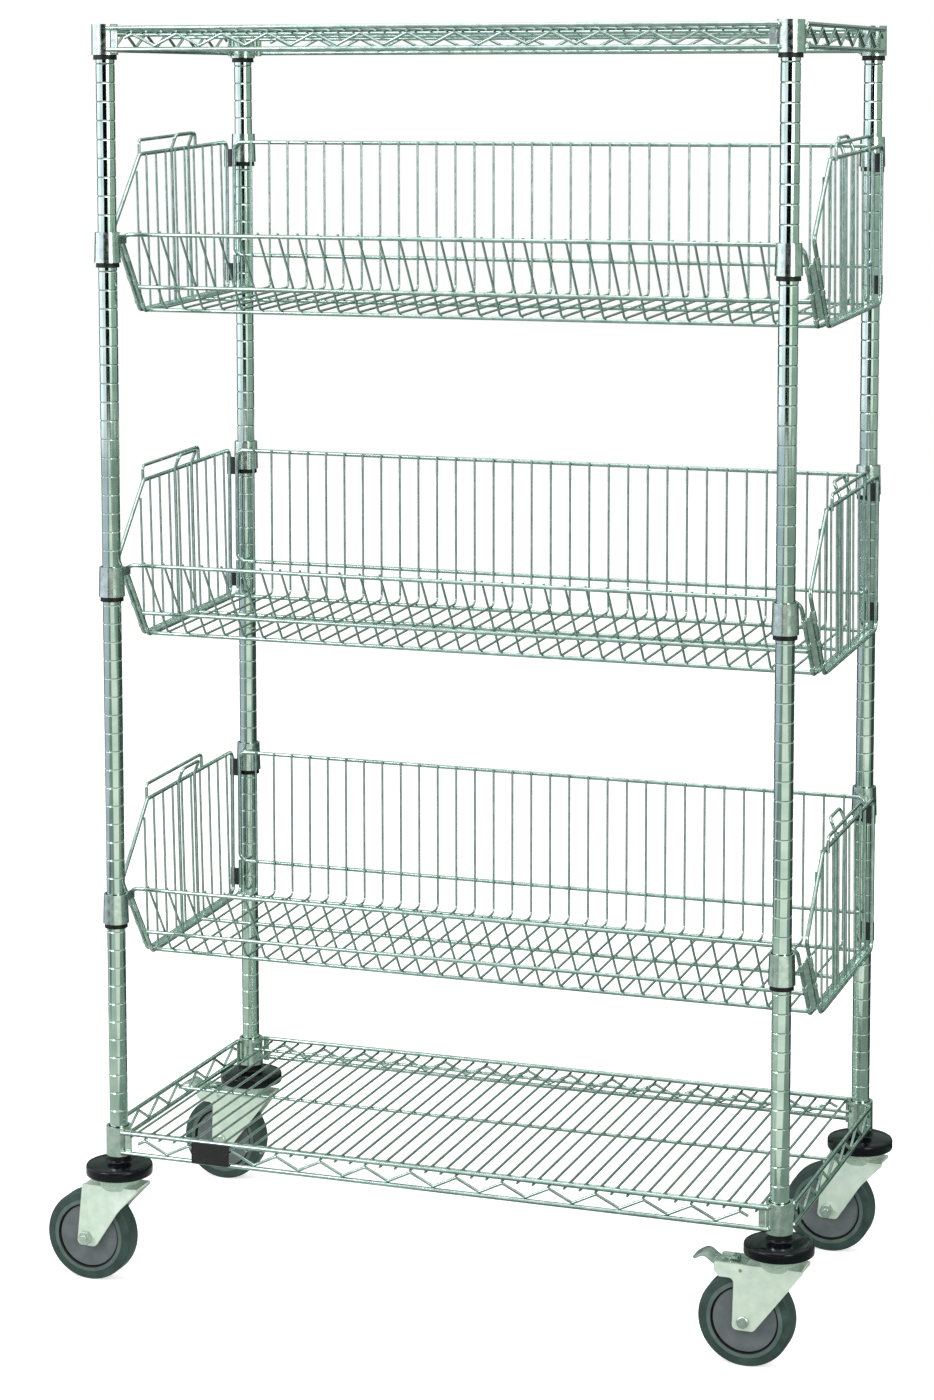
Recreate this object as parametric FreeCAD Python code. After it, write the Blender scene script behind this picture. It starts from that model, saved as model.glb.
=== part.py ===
import FreeCAD, Part
import math
import os

# Mobile basket shelving unit. Four grooved posts on swivel casters carry a wire shelf at the top and at the
# bottom, and three wire baskets, tilted a little to the front, between them. Millimetres, X to the right,
# Y to the back, Z up, with the origin on the floor midway between the posts.

Vector = FreeCAD.Vector
AXIS_X = Vector(1, 0, 0)
AXIS_Y = Vector(0, 1, 0)
AXIS_Z = Vector(0, 0, 1)
ORIGIN = Vector(0, 0, 0)

# Posts
post_spacing_x = 950.0
post_spacing_y = 456.0
post_diameter = 25.4
post_wall = 1.6
groove_pitch = 25.4
groove_width = 2.6
groove_depth = 0.8
cap_thickness = 2.5
cap_plug_length = 12.0

# Tiers, counted in post grooves above the bottom shelf
top_shelf_notch = 60
basket_notches = {"upper": 54, "middle": 36, "lower": 18}
basket_front_drop = 5

# Split sleeves and the tapered collars that wedge on them
sleeve_height = 44.0
sleeve_lip = 6.5
sleeve_bottom_radius = 16.0
sleeve_top_radius = 14.4
sleeve_slit_angle = 5.0
sleeve_clearance = 0.05
bead_height = 20.0
bead_clearance = 0.1
collar_clearance = 0.05
collar_height = 41.0
collar_bottom_wall = 2.2
shelf_collar_top_wall = 3.4
basket_collar_top_wall = 2.5
weld_gap = 0.05

# Wire shelves
rim_diameter = 6.2
rim_outset = 16.5
lower_rim_height = 13.5
rim_spacing = 28.5
cross_wire_diameter = 3.4
cross_wire_count = 42
cross_wire_margin = 26.6
cross_wire_tip = 2.4
truss_diameter = 4.0
truss_bend = 4.5
truss_wires_per_wave = 3
truss_tail = 11.0
side_truss_waves = 6
deck_rod_diameter = 4.8
deck_rod_inset = 31.0
plate_width = 56.0
plate_height = 30.0
plate_thickness = 2.0
plate_corner = 2.0
plate_from_post = 149.0

# Baskets: sizes along the floor, up the back and up the sloping front, before the tilt
basket_tilt = 2.4
basket_back_height = 216.0
basket_floor_depth = 318.0
basket_front_run = 70.0
basket_front_rise = 112.0
back_rim_above_ring = 35.4
mat_wire_diameter = 3.2
mat_wire_count = 32
mat_wire_margin = 23.0
mat_wire_tip = 2.5
mat_bend = 8.0
basket_rod_diameter = 5.6
basket_rod_bend = 10.0
back_frame_bend = 12.0
back_middle_rod_height = 50.0
floor_back_rod = 15.0
floor_middle_rod = 153.0
floor_front_rod_inset = 10.0
front_lower_rod_height = 35.0
front_rim_curl = 16.0
front_rim_leg = 10.0
end_wire_inset = 12.0

# Basket side panels
side_outset = 18.0
side_knee_height = 120.0
side_front_setback = 10.0
side_shoulder_depth = 295.0
side_wire_count = 10
side_wire_pitch = 31.5
loop_wire_diameter = 4.6
loop_bend = 6.0
long_loop_front = 286.0
long_loop_back = 99.0
long_loop_rise = 19.0
short_loop_front = 202.0
short_loop_back = 146.0
short_loop_rise = 22.0
short_loop_lean = 8.0
joint_strip_width = 14.0
joint_strip_thickness = 1.5
joint_strip_margin = 12.0
clip_height = 26.0
clip_upper_base = 180.0
clip_lower_base = 12.0

# Brackets behind the front basket collars, which hold the ends of the front rim
bracket_thickness = 3.0
bracket_height = 12.0
bracket_inset = 2.0

# Casters, trailing to -X
wheel_diameter = 127.0
wheel_width = 32.0
caster_trail = 42.0
hub_radius = 44.5
hub_groove_width = 1.3
hub_groove_depth = 2.0
hub_recess = 3.0
hub_boss_wall = 6.0
hub_boss_slope = 1.5
hub_boss_rise = 1.0
tyre_bead_chamfer = 1.5
tyre_bead_rise = 2.0
tyre_lip_width = 6.5
tyre_lip_step = 0.8
tyre_side_taper = 1.0
tyre_shoulder_radius = 3.5
bush_radius = 8.0
axle_diameter = 10.0
running_clearance = 0.05
fork_side_gap = 2.5
fork_wall = 3.5
fork_rise = 76.5
fork_top_front = 48.0
fork_top_back = 37.0
fork_foot_front = 15.0
fork_foot_back = 14.0
fork_foot_drop = 12.0
fork_corner = 7.0
fork_shoulder = 4.0
fork_waist_reach = 7.0
fork_waist_height = 35.0
fork_waist_radius = 60.0
crown_thickness = 4.0
cup_rise = 9.0
race_gap = 6.5
race_clearance = 1.0
race_wall = 3.5
race_height = 5.0
ball_count = 12
ball_pitch_radius = 17.0
ball_clearance = 0.1
flange_margin = 3.25
flange_thickness = 2.5
stem_radius = 7.0
stem_length = 62.0
king_pin_radius = 6.0
king_head_radius = 9.0
king_head_height = 4.0
bumper_radius = 46.5
bumper_height = 11.0
bumper_hub_radius = 17.0
shelf_above_post_foot = 18.0

# Brake on two of the casters
brake_reach = 82.0
brake_cheek_height = 19.0
brake_crown_front = 40.0
brake_pivot_offset = 46.0
brake_pivot_drop = 8.0
brake_pin_diameter = 5.0
brake_barrel_wall = 1.5
pedal_width = 33.0
pedal_thickness = 3.0
pedal_bend = 9.0
pedal_tip_reach = 113.0
pedal_tip_drop = 2.0
pedal_arch_rise = 7.0
shoe_from_pivot = 16.0
shoe_length = 12.0
brake_press_angle = 10.0
shoe_gap_pressed = 0.5

# Heights and radii that follow from the sizes above
post_radius = post_diameter / 2
post_bore = post_radius - post_wall
axle_height = wheel_diameter / 2
crown_top = axle_height + fork_rise
crown_bottom = crown_top - crown_thickness
cup_top = crown_top + cup_rise
cup_bottom = cup_top - crown_thickness
flange_bottom = cup_top + race_gap
flange_radius = ball_pitch_radius + race_gap / 2 + flange_margin
race_radius = flange_radius + race_clearance + race_wall
post_foot = flange_bottom + flange_thickness
bottom_ring = post_foot + shelf_above_post_foot
top_ring = bottom_ring + top_shelf_notch * groove_pitch
collar_top = sleeve_lip + collar_height
post_top = top_ring + collar_top - cap_thickness
fork_half_gap = wheel_width / 2 + fork_side_gap
fork_half_width = fork_half_gap + fork_wall
rim_radius = rim_diameter / 2
cross_wire_radius = cross_wire_diameter / 2
truss_radius = truss_diameter / 2
deck_rod_radius = deck_rod_diameter / 2
mat_wire_radius = mat_wire_diameter / 2
basket_rod_radius = basket_rod_diameter / 2
loop_wire_radius = loop_wire_diameter / 2
side_plane = post_spacing_x / 2 + side_outset
end_plane = side_plane - end_wire_inset
front_slope_length = math.hypot(basket_front_run, basket_front_rise)
side_floor_depth = basket_floor_depth - side_front_setback
side_front_drop = side_front_setback * basket_front_rise / front_slope_length

SIDES = {"left": -1, "right": 1}
ENDS = {"front": -1, "back": 1}
CORNERS = {f"{end}_{side}": (SIDES[side] * post_spacing_x / 2, ENDS[end] * post_spacing_y / 2)
           for end in ENDS for side in SIDES}
BRAKED = ("front_right", "back_left")


def save(node, solids):
    Part.makeCompound(solids).exportStep(f"parts/{node}.step")


def rounded_edges(points, radii, closed=False):
    """Straight edges through the points, joined by tangent arcs of one radius or of one for each corner."""
    count = len(points)
    corners = range(count) if closed else range(1, count - 1)
    radius = dict.fromkeys(corners, radii) if isinstance(radii, (int, float)) else dict(zip(corners, radii))
    arrive = {}
    leave = {}
    arcs = {}
    for i in corners:
        if radius[i] == 0:
            continue
        back = (points[i - 1] - points[i]).normalize()
        ahead = (points[(i + 1) % count] - points[i]).normalize()
        half = back.getAngle(ahead) / 2
        arrive[i] = points[i] + back * (radius[i] / math.tan(half))
        leave[i] = points[i] + ahead * (radius[i] / math.tan(half))
        inward = (back + ahead).normalize()
        middle = points[i] + inward * (radius[i] / math.sin(half) - radius[i])
        arcs[i] = Part.Arc(arrive[i], middle, leave[i]).toShape()
    edges = []
    for i in range(count if closed else count - 1):
        j = (i + 1) % count
        edges.append(Part.LineSegment(leave.get(i, points[i]), arrive.get(j, points[j])).toShape())
        if j in arcs:
            edges.append(arcs[j])
    return edges


def rod(start, end, diameter):
    along = end - start
    return Part.makeCylinder(diameter / 2, along.Length, start, along)


def swept(edges, diameter):
    """A round wire along joined edges."""
    first = edges[0]
    start = first.valueAt(first.FirstParameter)
    section = Part.Wire([Part.makeCircle(diameter / 2, start, first.tangentAt(first.FirstParameter))])
    return Part.Wire(edges).makePipeShell([section], True, False)


def bent_wire(points, bend, diameter, closed=False):
    """A round wire along the points, with bends of one centre-line radius."""
    return swept(rounded_edges(points, bend, closed), diameter)


def wire_runs(points, bend, diameter):
    """A bent wire as its runs, parted in the middle of every bend, where their end faces meet."""
    runs = [[]]
    for edge in rounded_edges(points, bend):
        if isinstance(edge.Curve, Part.Line):
            runs[-1].append(edge)
            continue
        first = edge.FirstParameter
        last = edge.LastParameter
        middle = (first + last) / 2
        runs[-1].append(edge.Curve.toShape(first, middle))
        runs.append([edge.Curve.toShape(middle, last)])
    return [swept(edges, diameter) for edges in runs]


def flat_plate(points, radii, thickness_vector):
    """A plate with rounded corners, as thick as the vector is long."""
    return Part.Face(Part.Wire(rounded_edges(points, radii, True))).extrude(thickness_vector)


def turned(outline, angle=360.0):
    """A solid of revolution about Z from (radius, height) points."""
    points = [Vector(r, 0, h) for r, h in outline]
    return Part.Face(Part.makePolygon(points + points[:1])).revolve(ORIGIN, AXIS_Z, angle)


def turned_rounded(outline, radii):
    """As turned, with the outline's corners rounded."""
    points = [Vector(r, 0, h) for r, h in outline]
    return Part.Face(Part.Wire(rounded_edges(points, radii, True))).revolve(ORIGIN, AXIS_Z, 360)


def at(shape, x, y, z):
    moved = shape.copy()
    moved.translate(Vector(x, y, z))
    return moved


def spread(count, half_span):
    return [half_span * (2 * i / (count - 1) - 1) for i in range(count)]


# Posts, caps and sleeves
def sleeve_radius(height):
    share = height / sleeve_height
    return sleeve_bottom_radius + (sleeve_top_radius - sleeve_bottom_radius) * share


def groove_heights():
    lowest = bottom_ring + bead_height
    below = math.floor((lowest - post_foot - groove_width) / groove_pitch)
    above = math.floor((post_top - groove_width - lowest) / groove_pitch)
    return [lowest + k * groove_pitch for k in range(-below, above + 1)]


def make_post():
    outline = [(post_bore, post_foot), (post_radius, post_foot)]
    for height in groove_heights():
        outline.append((post_radius, height - groove_width / 2))
        outline.append((post_radius - groove_depth, height))
        outline.append((post_radius, height + groove_width / 2))
    outline += [(post_radius, post_top), (post_bore, post_top)]
    return turned(outline)


def make_cap():
    return turned([(0, post_top - cap_plug_length), (post_bore, post_top - cap_plug_length),
                   (post_bore, post_top), (post_radius, post_top),
                   (post_radius, post_top + cap_thickness / 2),
                   (post_radius - cap_thickness / 2, post_top + cap_thickness),
                   (0, post_top + cap_thickness)])


def make_sleeve_halves():
    """Two half-shells with a slit between them, and the bead that locks in a post groove."""
    bore = post_radius + sleeve_clearance
    bead_half = groove_width / 2 - bead_clearance
    bead_tip = post_radius - groove_depth + bead_clearance
    half = turned([(bore, 0), (sleeve_bottom_radius, 0), (sleeve_top_radius, sleeve_height),
                   (bore, sleeve_height), (bore, bead_height + bead_half), (bead_tip, bead_height),
                   (bore, bead_height - bead_half)], 180 - sleeve_slit_angle)
    other = half.copy()
    other.rotate(ORIGIN, AXIS_Z, 180)
    return [half, other]


def tier_rings():
    """The foot of every sleeve: (x, y, z) for four posts on each of the five tiers."""
    rings = []
    for x, y in CORNERS.values():
        rings.append((x, y, bottom_ring))
        rings.append((x, y, top_ring))
        rings += [(x, y, basket_ring(name, y)) for name in basket_notches]
    return rings


def basket_ring(name, y):
    notch = basket_notches[name] - (basket_front_drop if y < 0 else 0)
    return bottom_ring + notch * groove_pitch


# Collars
def collar_bore(height):
    return sleeve_radius(height) + collar_clearance


def collar_radius(height, top_wall):
    """Outer radius of a collar at a height above its sleeve's foot."""
    low = collar_bore(sleeve_lip) + collar_bottom_wall
    high = collar_bore(collar_top) + top_wall
    return low + (high - low) * (height - sleeve_lip) / collar_height


def make_collar(top_wall):
    foot = collar_radius(sleeve_lip, top_wall)
    head = collar_radius(collar_top, top_wall)
    return turned([(collar_bore(sleeve_lip), sleeve_lip), (foot, sleeve_lip), (head, collar_top),
                   (collar_bore(collar_top), collar_top)])


# Wire shelves
def reach_to_collar(offset, radius, height):
    """How far from a post axis a wire stops that passes it at an offset and meets the shelf collar."""
    collar = collar_radius(height - radius, shelf_collar_top_wall)
    return math.sqrt(collar ** 2 - (offset - radius) ** 2) + weld_gap


def zigzag(crests, crest_height, trough_height, half_wave):
    """(along, height) corners of a truss wire whose bends just touch the wires above and below it."""
    rise = 0.0
    for _ in range(12):
        slope = math.atan2(crest_height - trough_height + 2 * rise, half_wave)
        rise = truss_bend * (1 / math.cos(slope) - 1)
    drop = math.tan(slope) * truss_tail
    points = [(crests[0] - truss_tail, crest_height + rise - drop)]
    for crest in crests:
        points.append((crest, crest_height + rise))
        points.append((crest + half_wave, trough_height - rise))
    points[-1] = (crests[-1] + truss_tail, crest_height + rise - drop)
    return points


def shelf_rims(ring):
    rims = []
    side_x = post_spacing_x / 2 + rim_outset
    end_y = post_spacing_y / 2 + rim_outset
    for height in (lower_rim_height, lower_rim_height + rim_spacing):
        z = ring + height
        stop = reach_to_collar(rim_outset, rim_radius, height)
        half_x = post_spacing_x / 2 - stop
        half_y = post_spacing_y / 2 - stop
        for y in (-end_y, end_y):
            rims.append(rod(Vector(-half_x, y, z), Vector(half_x, y, z), rim_diameter))
        for x in (-side_x, side_x):
            rims.append(rod(Vector(x, -half_y, z), Vector(x, half_y, z), rim_diameter))
    return rims


def cross_wire_places():
    return spread(cross_wire_count, post_spacing_x / 2 - cross_wire_margin)


def cross_wire_height():
    return lower_rim_height + rim_spacing - rim_radius - cross_wire_radius


def shelf_trusses(ring):
    trough = lower_rim_height + rim_radius + truss_radius
    places = cross_wire_places()
    wave = truss_wires_per_wave * (places[1] - places[0])
    end_y = post_spacing_y / 2 + rim_outset
    side_x = post_spacing_x / 2 + rim_outset
    long_crests = places[1:-1:truss_wires_per_wave]
    long_crest_height = cross_wire_height() - cross_wire_radius - truss_radius
    long_corners = zigzag(long_crests, long_crest_height, trough, wave / 2)
    side_crests = spread(side_truss_waves + 1, side_truss_waves * wave / 2)
    side_crest_height = lower_rim_height + rim_spacing - rim_radius - truss_radius
    side_corners = zigzag(side_crests, side_crest_height, trough, wave / 2)
    trusses = []
    for sign in (-1, 1):
        long_points = [Vector(x, sign * end_y, ring + h) for x, h in long_corners]
        side_points = [Vector(sign * side_x, y, ring + h) for y, h in side_corners]
        trusses.append(bent_wire(long_points, truss_bend, truss_diameter))
        trusses.append(bent_wire(side_points, truss_bend, truss_diameter))
    return trusses


def shelf_deck(ring):
    half_y = post_spacing_y / 2 + rim_outset + cross_wire_tip
    z = ring + cross_wire_height()
    wires = []
    for x in cross_wire_places():
        wires.append(rod(Vector(x, -half_y, z), Vector(x, half_y, z), cross_wire_diameter))
    rod_height = cross_wire_height() - cross_wire_radius - deck_rod_radius
    rod_z = ring + rod_height
    inner_y = post_spacing_y / 2 + rim_outset - deck_rod_inset
    inner_x = post_spacing_x / 2 - reach_to_collar(deck_rod_inset - rim_outset, deck_rod_radius, rod_height)
    middle_x = post_spacing_x / 2 + rim_outset - truss_radius - weld_gap
    for half_x, y in ((inner_x, -inner_y), (middle_x, 0), (inner_x, inner_y)):
        wires.append(rod(Vector(-half_x, y, rod_z), Vector(half_x, y, rod_z), deck_rod_diameter))
    return wires


def make_shelf(name, ring):
    collar = make_collar(shelf_collar_top_wall)
    save(f"{name}_shelf_collars", [at(collar, x, y, ring) for x, y in CORNERS.values()])
    save(f"{name}_shelf_rims", shelf_rims(ring))
    save(f"{name}_shelf_trusses", shelf_trusses(ring))
    save(f"{name}_shelf_deck", shelf_deck(ring))


def make_name_plate():
    """A bare plate held against the front rim wires of the bottom shelf."""
    left = plate_from_post - (post_spacing_x + plate_width) / 2
    y = -(post_spacing_y / 2 + rim_outset + rim_radius)
    low = bottom_ring + lower_rim_height + (rim_spacing - plate_height) / 2
    corners = [Vector(left, y, low), Vector(left + plate_width, y, low),
               Vector(left + plate_width, y, low + plate_height), Vector(left, y, low + plate_height)]
    return flat_plate(corners, plate_corner, Vector(0, -plate_thickness, 0))


# Baskets are made level, with the floor's back edge on the X axis, and then tilted and lifted into place.
# A place in the side view is given as depth from the back and height above the floor rods.
def level(x, depth, height):
    return Vector(x, -depth, height)


def back_point(x, height, inward=0.0):
    """A point on the back, which stands upright once the basket is tilted."""
    tilt = math.radians(basket_tilt)
    return level(x, (basket_back_height - height) * math.tan(tilt) + inward / math.cos(tilt), height)


def slope_point(x, along, outward=0.0):
    """A point on the sloping front, measured up the slope from the floor and square out of it."""
    run = basket_front_run / front_slope_length
    rise = basket_front_rise / front_slope_length
    return level(x, basket_floor_depth + along * run + outward * rise, along * rise - outward * run)


def mat_wire():
    """The runs of one mat wire, down the back, along the floor and up the front, inside the long rods."""
    inset = basket_rod_radius + mat_wire_radius
    top = slope_point(0, front_slope_length + mat_wire_tip, -inset)
    foot = slope_point(0, 0, -inset)
    share = (inset - foot.z) / (top.z - foot.z)
    front_corner = foot + (top - foot) * share
    back_top = back_point(0, basket_back_height + mat_wire_tip, inset)
    points = [back_top, back_point(0, inset, inset), front_corner, top]
    return wire_runs(points, mat_bend, mat_wire_diameter)


def basket_mat():
    runs = mat_wire()
    places = spread(mat_wire_count, post_spacing_x / 2 - mat_wire_margin)
    return [at(run, x, 0, 0) for x in places for run in runs]


def back_frame():
    """The closed frame of the back, whose top is the back rim."""
    low = back_middle_rod_height
    points = [back_point(-end_plane, low), back_point(-end_plane, basket_back_height),
              back_point(end_plane, basket_back_height), back_point(end_plane, low)]
    return bent_wire(points, back_frame_bend, basket_rod_diameter, True)


def end_wire(x):
    """The heavy wire at one end of the mat, from the back frame's corner to the curl of the front rim."""
    corner_gap = 2 * math.sqrt(back_frame_bend * basket_rod_radius) - back_frame_bend + weld_gap
    top = slope_point(x, front_slope_length - front_rim_curl - front_rim_leg - weld_gap)
    points = [back_point(x, back_middle_rod_height - corner_gap), back_point(x, 0),
              level(x, basket_floor_depth, 0), top]
    return bent_wire(points, basket_rod_bend, basket_rod_diameter)


def front_rim(diameter=basket_rod_diameter):
    leg = front_slope_length - front_rim_curl - front_rim_leg
    points = [slope_point(-end_plane, leg), slope_point(-end_plane, front_slope_length),
              slope_point(end_plane, front_slope_length), slope_point(end_plane, leg)]
    return bent_wire(points, front_rim_curl, diameter)


def basket_rods():
    half = end_plane - basket_rod_radius - weld_gap
    lower_front = slope_point(0, front_lower_rod_height * front_slope_length / basket_front_rise)
    floor_back = back_point(0, 0, floor_back_rod)
    floor_front = level(0, basket_floor_depth - floor_front_rod_inset, 0)
    places = [floor_back, level(0, floor_middle_rod, 0), floor_front, lower_front]
    rods = [rod(place - AXIS_X * half, place + AXIS_X * half, basket_rod_diameter) for place in places]
    return rods + [back_frame(), end_wire(-end_plane), end_wire(end_plane), front_rim()]


def knee_depth():
    return side_floor_depth + side_knee_height * basket_front_run / basket_front_rise


def panel_top(depth):
    """Height of a side panel's frame over a depth: level at the back, then falling to the knee."""
    if depth <= side_shoulder_depth:
        return basket_back_height
    fall = (basket_back_height - side_knee_height) / (knee_depth() - side_shoulder_depth)
    return basket_back_height - (depth - side_shoulder_depth) * fall


def panel_foot(depth):
    return max(0.0, depth - side_floor_depth) * basket_front_rise / basket_front_run


def basket_side(sign):
    x = sign * side_plane
    frame = bent_wire([back_point(x, basket_back_height), level(x, side_shoulder_depth, basket_back_height),
                       level(x, knee_depth(), side_knee_height), level(x, side_floor_depth, 0),
                       back_point(x, 0)], basket_rod_bend, basket_rod_diameter, True)
    wire_x = x - sign * (basket_rod_radius + mat_wire_radius)
    wires = []
    for i in range(1, side_wire_count + 1):
        depth = i * side_wire_pitch
        foot = level(wire_x, depth, panel_foot(depth))
        wires.append(rod(foot, level(wire_x, depth, panel_top(depth)), mat_wire_diameter))
    long_x = x + sign * (basket_rod_radius + loop_wire_radius)
    foot = basket_back_height - basket_rod_radius
    long_top = basket_back_height + long_loop_rise
    long_loop = bent_wire([level(long_x, long_loop_front, foot), level(long_x, long_loop_front, long_top),
                           level(long_x, long_loop_back, long_top), level(long_x, long_loop_back, foot)],
                          loop_bend, loop_wire_diameter)
    short_x = x - sign * (basket_rod_radius + loop_wire_radius)
    lean_x = short_x - sign * short_loop_lean
    elbow = basket_back_height + basket_rod_radius
    short_top = basket_back_height + short_loop_rise
    front_leg = [level(short_x, short_loop_front, 0), level(short_x, short_loop_front, elbow),
                 level(lean_x, short_loop_front, short_top)]
    back_leg = [level(lean_x, short_loop_back, short_top), level(short_x, short_loop_back, elbow),
                level(short_x, short_loop_back, 0)]
    short_loop = bent_wire(front_leg + back_leg, loop_bend, loop_wire_diameter)
    return [frame, *wires, long_loop, short_loop]


def joint_plate(corners):
    """A flat piece of the joint strip's width, across the corners' plane."""
    return Part.Face(Part.makePolygon(corners + corners[:1])).extrude(Vector(joint_strip_width, 0, 0))


def joint_edges():
    """X of the near edge of the joint plates, on both ends."""
    middle = (side_plane + end_plane) / 2
    return [sign * middle - joint_strip_width / 2 for sign in (-1, 1)]


def slope_strip(sign):
    """Strip up the front slope, flat across the mat's end wire and the side's front wire behind it."""
    span = math.hypot(end_wire_inset, side_front_drop)
    cosine = end_wire_inset / span
    sine = side_front_drop / span
    half = (joint_strip_width + span - end_wire_inset) / 2
    inner = basket_rod_radius
    outer = basket_rod_radius + joint_strip_thickness
    low = joint_strip_margin
    high = front_slope_length - front_rim_curl - front_rim_leg
    corners = []
    for across, out in ((-half, inner), (half, inner), (half, outer), (-half, outer)):
        x = end_plane + (span / 2 + across) * cosine + out * sine
        corners.append(slope_point(sign * x, low, out * cosine - (span / 2 + across) * sine))
    length = slope_point(0, high) - slope_point(0, low)
    return Part.Face(Part.makePolygon(corners + corners[:1])).extrude(length)


def joint_strips():
    """Strips along the floor edges and up the front slope, on both ends."""
    under = -basket_rod_radius
    base = under - joint_strip_thickness
    start = floor_back_rod + joint_strip_margin
    stop = side_floor_depth - joint_strip_margin
    strips = [slope_strip(sign) for sign in SIDES.values()]
    for near in joint_edges():
        strips.append(joint_plate([level(near, start, under), level(near, stop, under),
                                   level(near, stop, base), level(near, start, base)]))
    return strips


def joint_clips():
    """Clips at the foot and the head of the back corners, on both ends."""
    clips = []
    inner = basket_rod_radius
    outer = basket_rod_radius + joint_strip_thickness
    for near in joint_edges():
        for base in (clip_lower_base, clip_upper_base):
            head = base + clip_height
            clips.append(joint_plate([back_point(near, base, inner), back_point(near, head, inner),
                                      back_point(near, head, outer), back_point(near, base, outer)]))
    return clips


def back_rim_place(name):
    """(y, z) of a basket's back rim: the upright back frame touches the front of the back collars."""
    z = basket_ring(name, post_spacing_y) + back_rim_above_ring
    collar = collar_radius(sleeve_lip, basket_collar_top_wall)
    return post_spacing_y / 2 - collar - basket_rod_radius - weld_gap, z


def placed(name, solids):
    """The basket's level solids, tilted about the back rim and lifted to their tier."""
    rim_y, rim_z = back_rim_place(name)
    moved = []
    for solid in solids:
        copy = at(solid, 0, rim_y, rim_z - basket_back_height)
        copy.rotate(Vector(0, rim_y, rim_z), AXIS_X, basket_tilt)
        moved.append(copy)
    return moved


def front_rim_place(name):
    rim_y, rim_z = back_rim_place(name)
    place = slope_point(0, front_slope_length) - level(0, 0, basket_back_height)
    place = FreeCAD.Rotation(AXIS_X, basket_tilt).multVec(place)
    return place.y + rim_y, place.z + rim_z


def bracketed_collar(name, x, y):
    """A front collar with a plate behind it, notched for the bend at the end of the front rim."""
    rim_y, rim_z = front_rim_place(name)
    ring = basket_ring(name, y)
    collar = make_collar(basket_collar_top_wall)
    inner = -math.copysign(bracket_inset, x) - bracket_thickness / 2
    top = min(rim_z - ring, collar_top)
    plate = Part.makeBox(bracket_thickness, rim_y - y, bracket_height, Vector(inner, 0, top - bracket_height))
    bore = turned([(0, 0), (collar_bore(0), 0), (collar_bore(collar_top), collar_top), (0, collar_top)])
    rim = placed(name, [front_rim(basket_rod_diameter + 2 * weld_gap)])[0]
    return collar.fuse(plate.cut([bore, at(rim, -x, -y, -ring)])).removeSplitter().Solids[0]


def make_basket(name, mat, rods, sides):
    save(f"{name}_basket_mat", placed(name, mat))
    save(f"{name}_basket_rods", placed(name, rods))
    for side in SIDES:
        save(f"{name}_basket_{side}_side", placed(name, sides[side]))
    collars = []
    for x, y in CORNERS.values():
        collar = make_collar(basket_collar_top_wall)
        if y < 0:
            collar = bracketed_collar(name, x, y)
        collars.append(at(collar, x, y, basket_ring(name, y)))
    save(f"{name}_basket_collars", collars)


# Casters, made about the swivel axis
def make_stem():
    """Flange with the upper race, the stem in the post above it and the riveted king pin below."""
    head_top = cup_bottom - ball_clearance
    head_foot = head_top - king_head_height
    stem_top = post_foot + stem_length
    return turned([(0, head_foot), (king_head_radius - 1, head_foot), (king_head_radius, head_foot + 1),
                   (king_head_radius, head_top), (king_pin_radius, head_top),
                   (king_pin_radius, flange_bottom), (flange_radius, flange_bottom),
                   (flange_radius, post_foot), (stem_radius, post_foot),
                   (stem_radius, stem_top), (0, stem_top)])


def make_stem_bush():
    return turned([(stem_radius, post_foot), (post_bore, post_foot), (post_bore, post_foot + stem_length),
                   (stem_radius, post_foot + stem_length)])


def make_balls():
    middle = cup_top + race_gap / 2
    balls = []
    for i in range(ball_count):
        turn = 2 * math.pi * i / ball_count
        place = Vector(ball_pitch_radius * math.cos(turn), ball_pitch_radius * math.sin(turn), middle)
        balls.append(Part.makeSphere(race_gap / 2 - ball_clearance, place))
    return balls


def make_bumper():
    """Round bumper that stands on the flange, with a domed top and a hub up to the lowest sleeve."""
    bore = post_radius + sleeve_clearance
    rim_top = post_foot + bumper_height
    hub_top = bottom_ring - weld_gap
    return turned_rounded([(bore, post_foot), (bumper_radius, post_foot), (bumper_radius, rim_top),
                           (bumper_hub_radius, (rim_top + hub_top) / 2), (bumper_hub_radius, hub_top),
                           (bore, hub_top)], [0.5, 3.0, 4.0, 1.0, 0.8, 0.5])


def fork_leg_outline(braked):
    """Side view of one fork leg as (x, z) and the radius of each corner."""
    foot_z = axle_height - fork_foot_drop
    foot_front = -caster_trail - fork_foot_front
    foot_back = -caster_trail + fork_foot_back
    outline = [(fork_top_back, crown_top), (fork_top_back, crown_top - fork_shoulder)]
    radii = [1.0, 2.0]
    if not braked:
        outline.append((fork_waist_reach, crown_top - fork_waist_height))
        radii.append(fork_waist_radius)
    outline += [(foot_back, foot_z), (foot_front, foot_z)]
    radii += [fork_corner, fork_corner]
    if braked:
        cheek_foot = crown_top - brake_cheek_height
        neck = foot_front + 2.0
        outline += [(neck, cheek_foot), (-brake_reach + fork_corner, cheek_foot),
                    (-brake_reach, cheek_foot + fork_corner), (-brake_reach, crown_top)]
        radii += [fork_corner, 2.0, 2.0, 2.0]
    else:
        outline.append((-fork_top_front, crown_top))
        radii.append(2.0)
    return outline, radii


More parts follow.
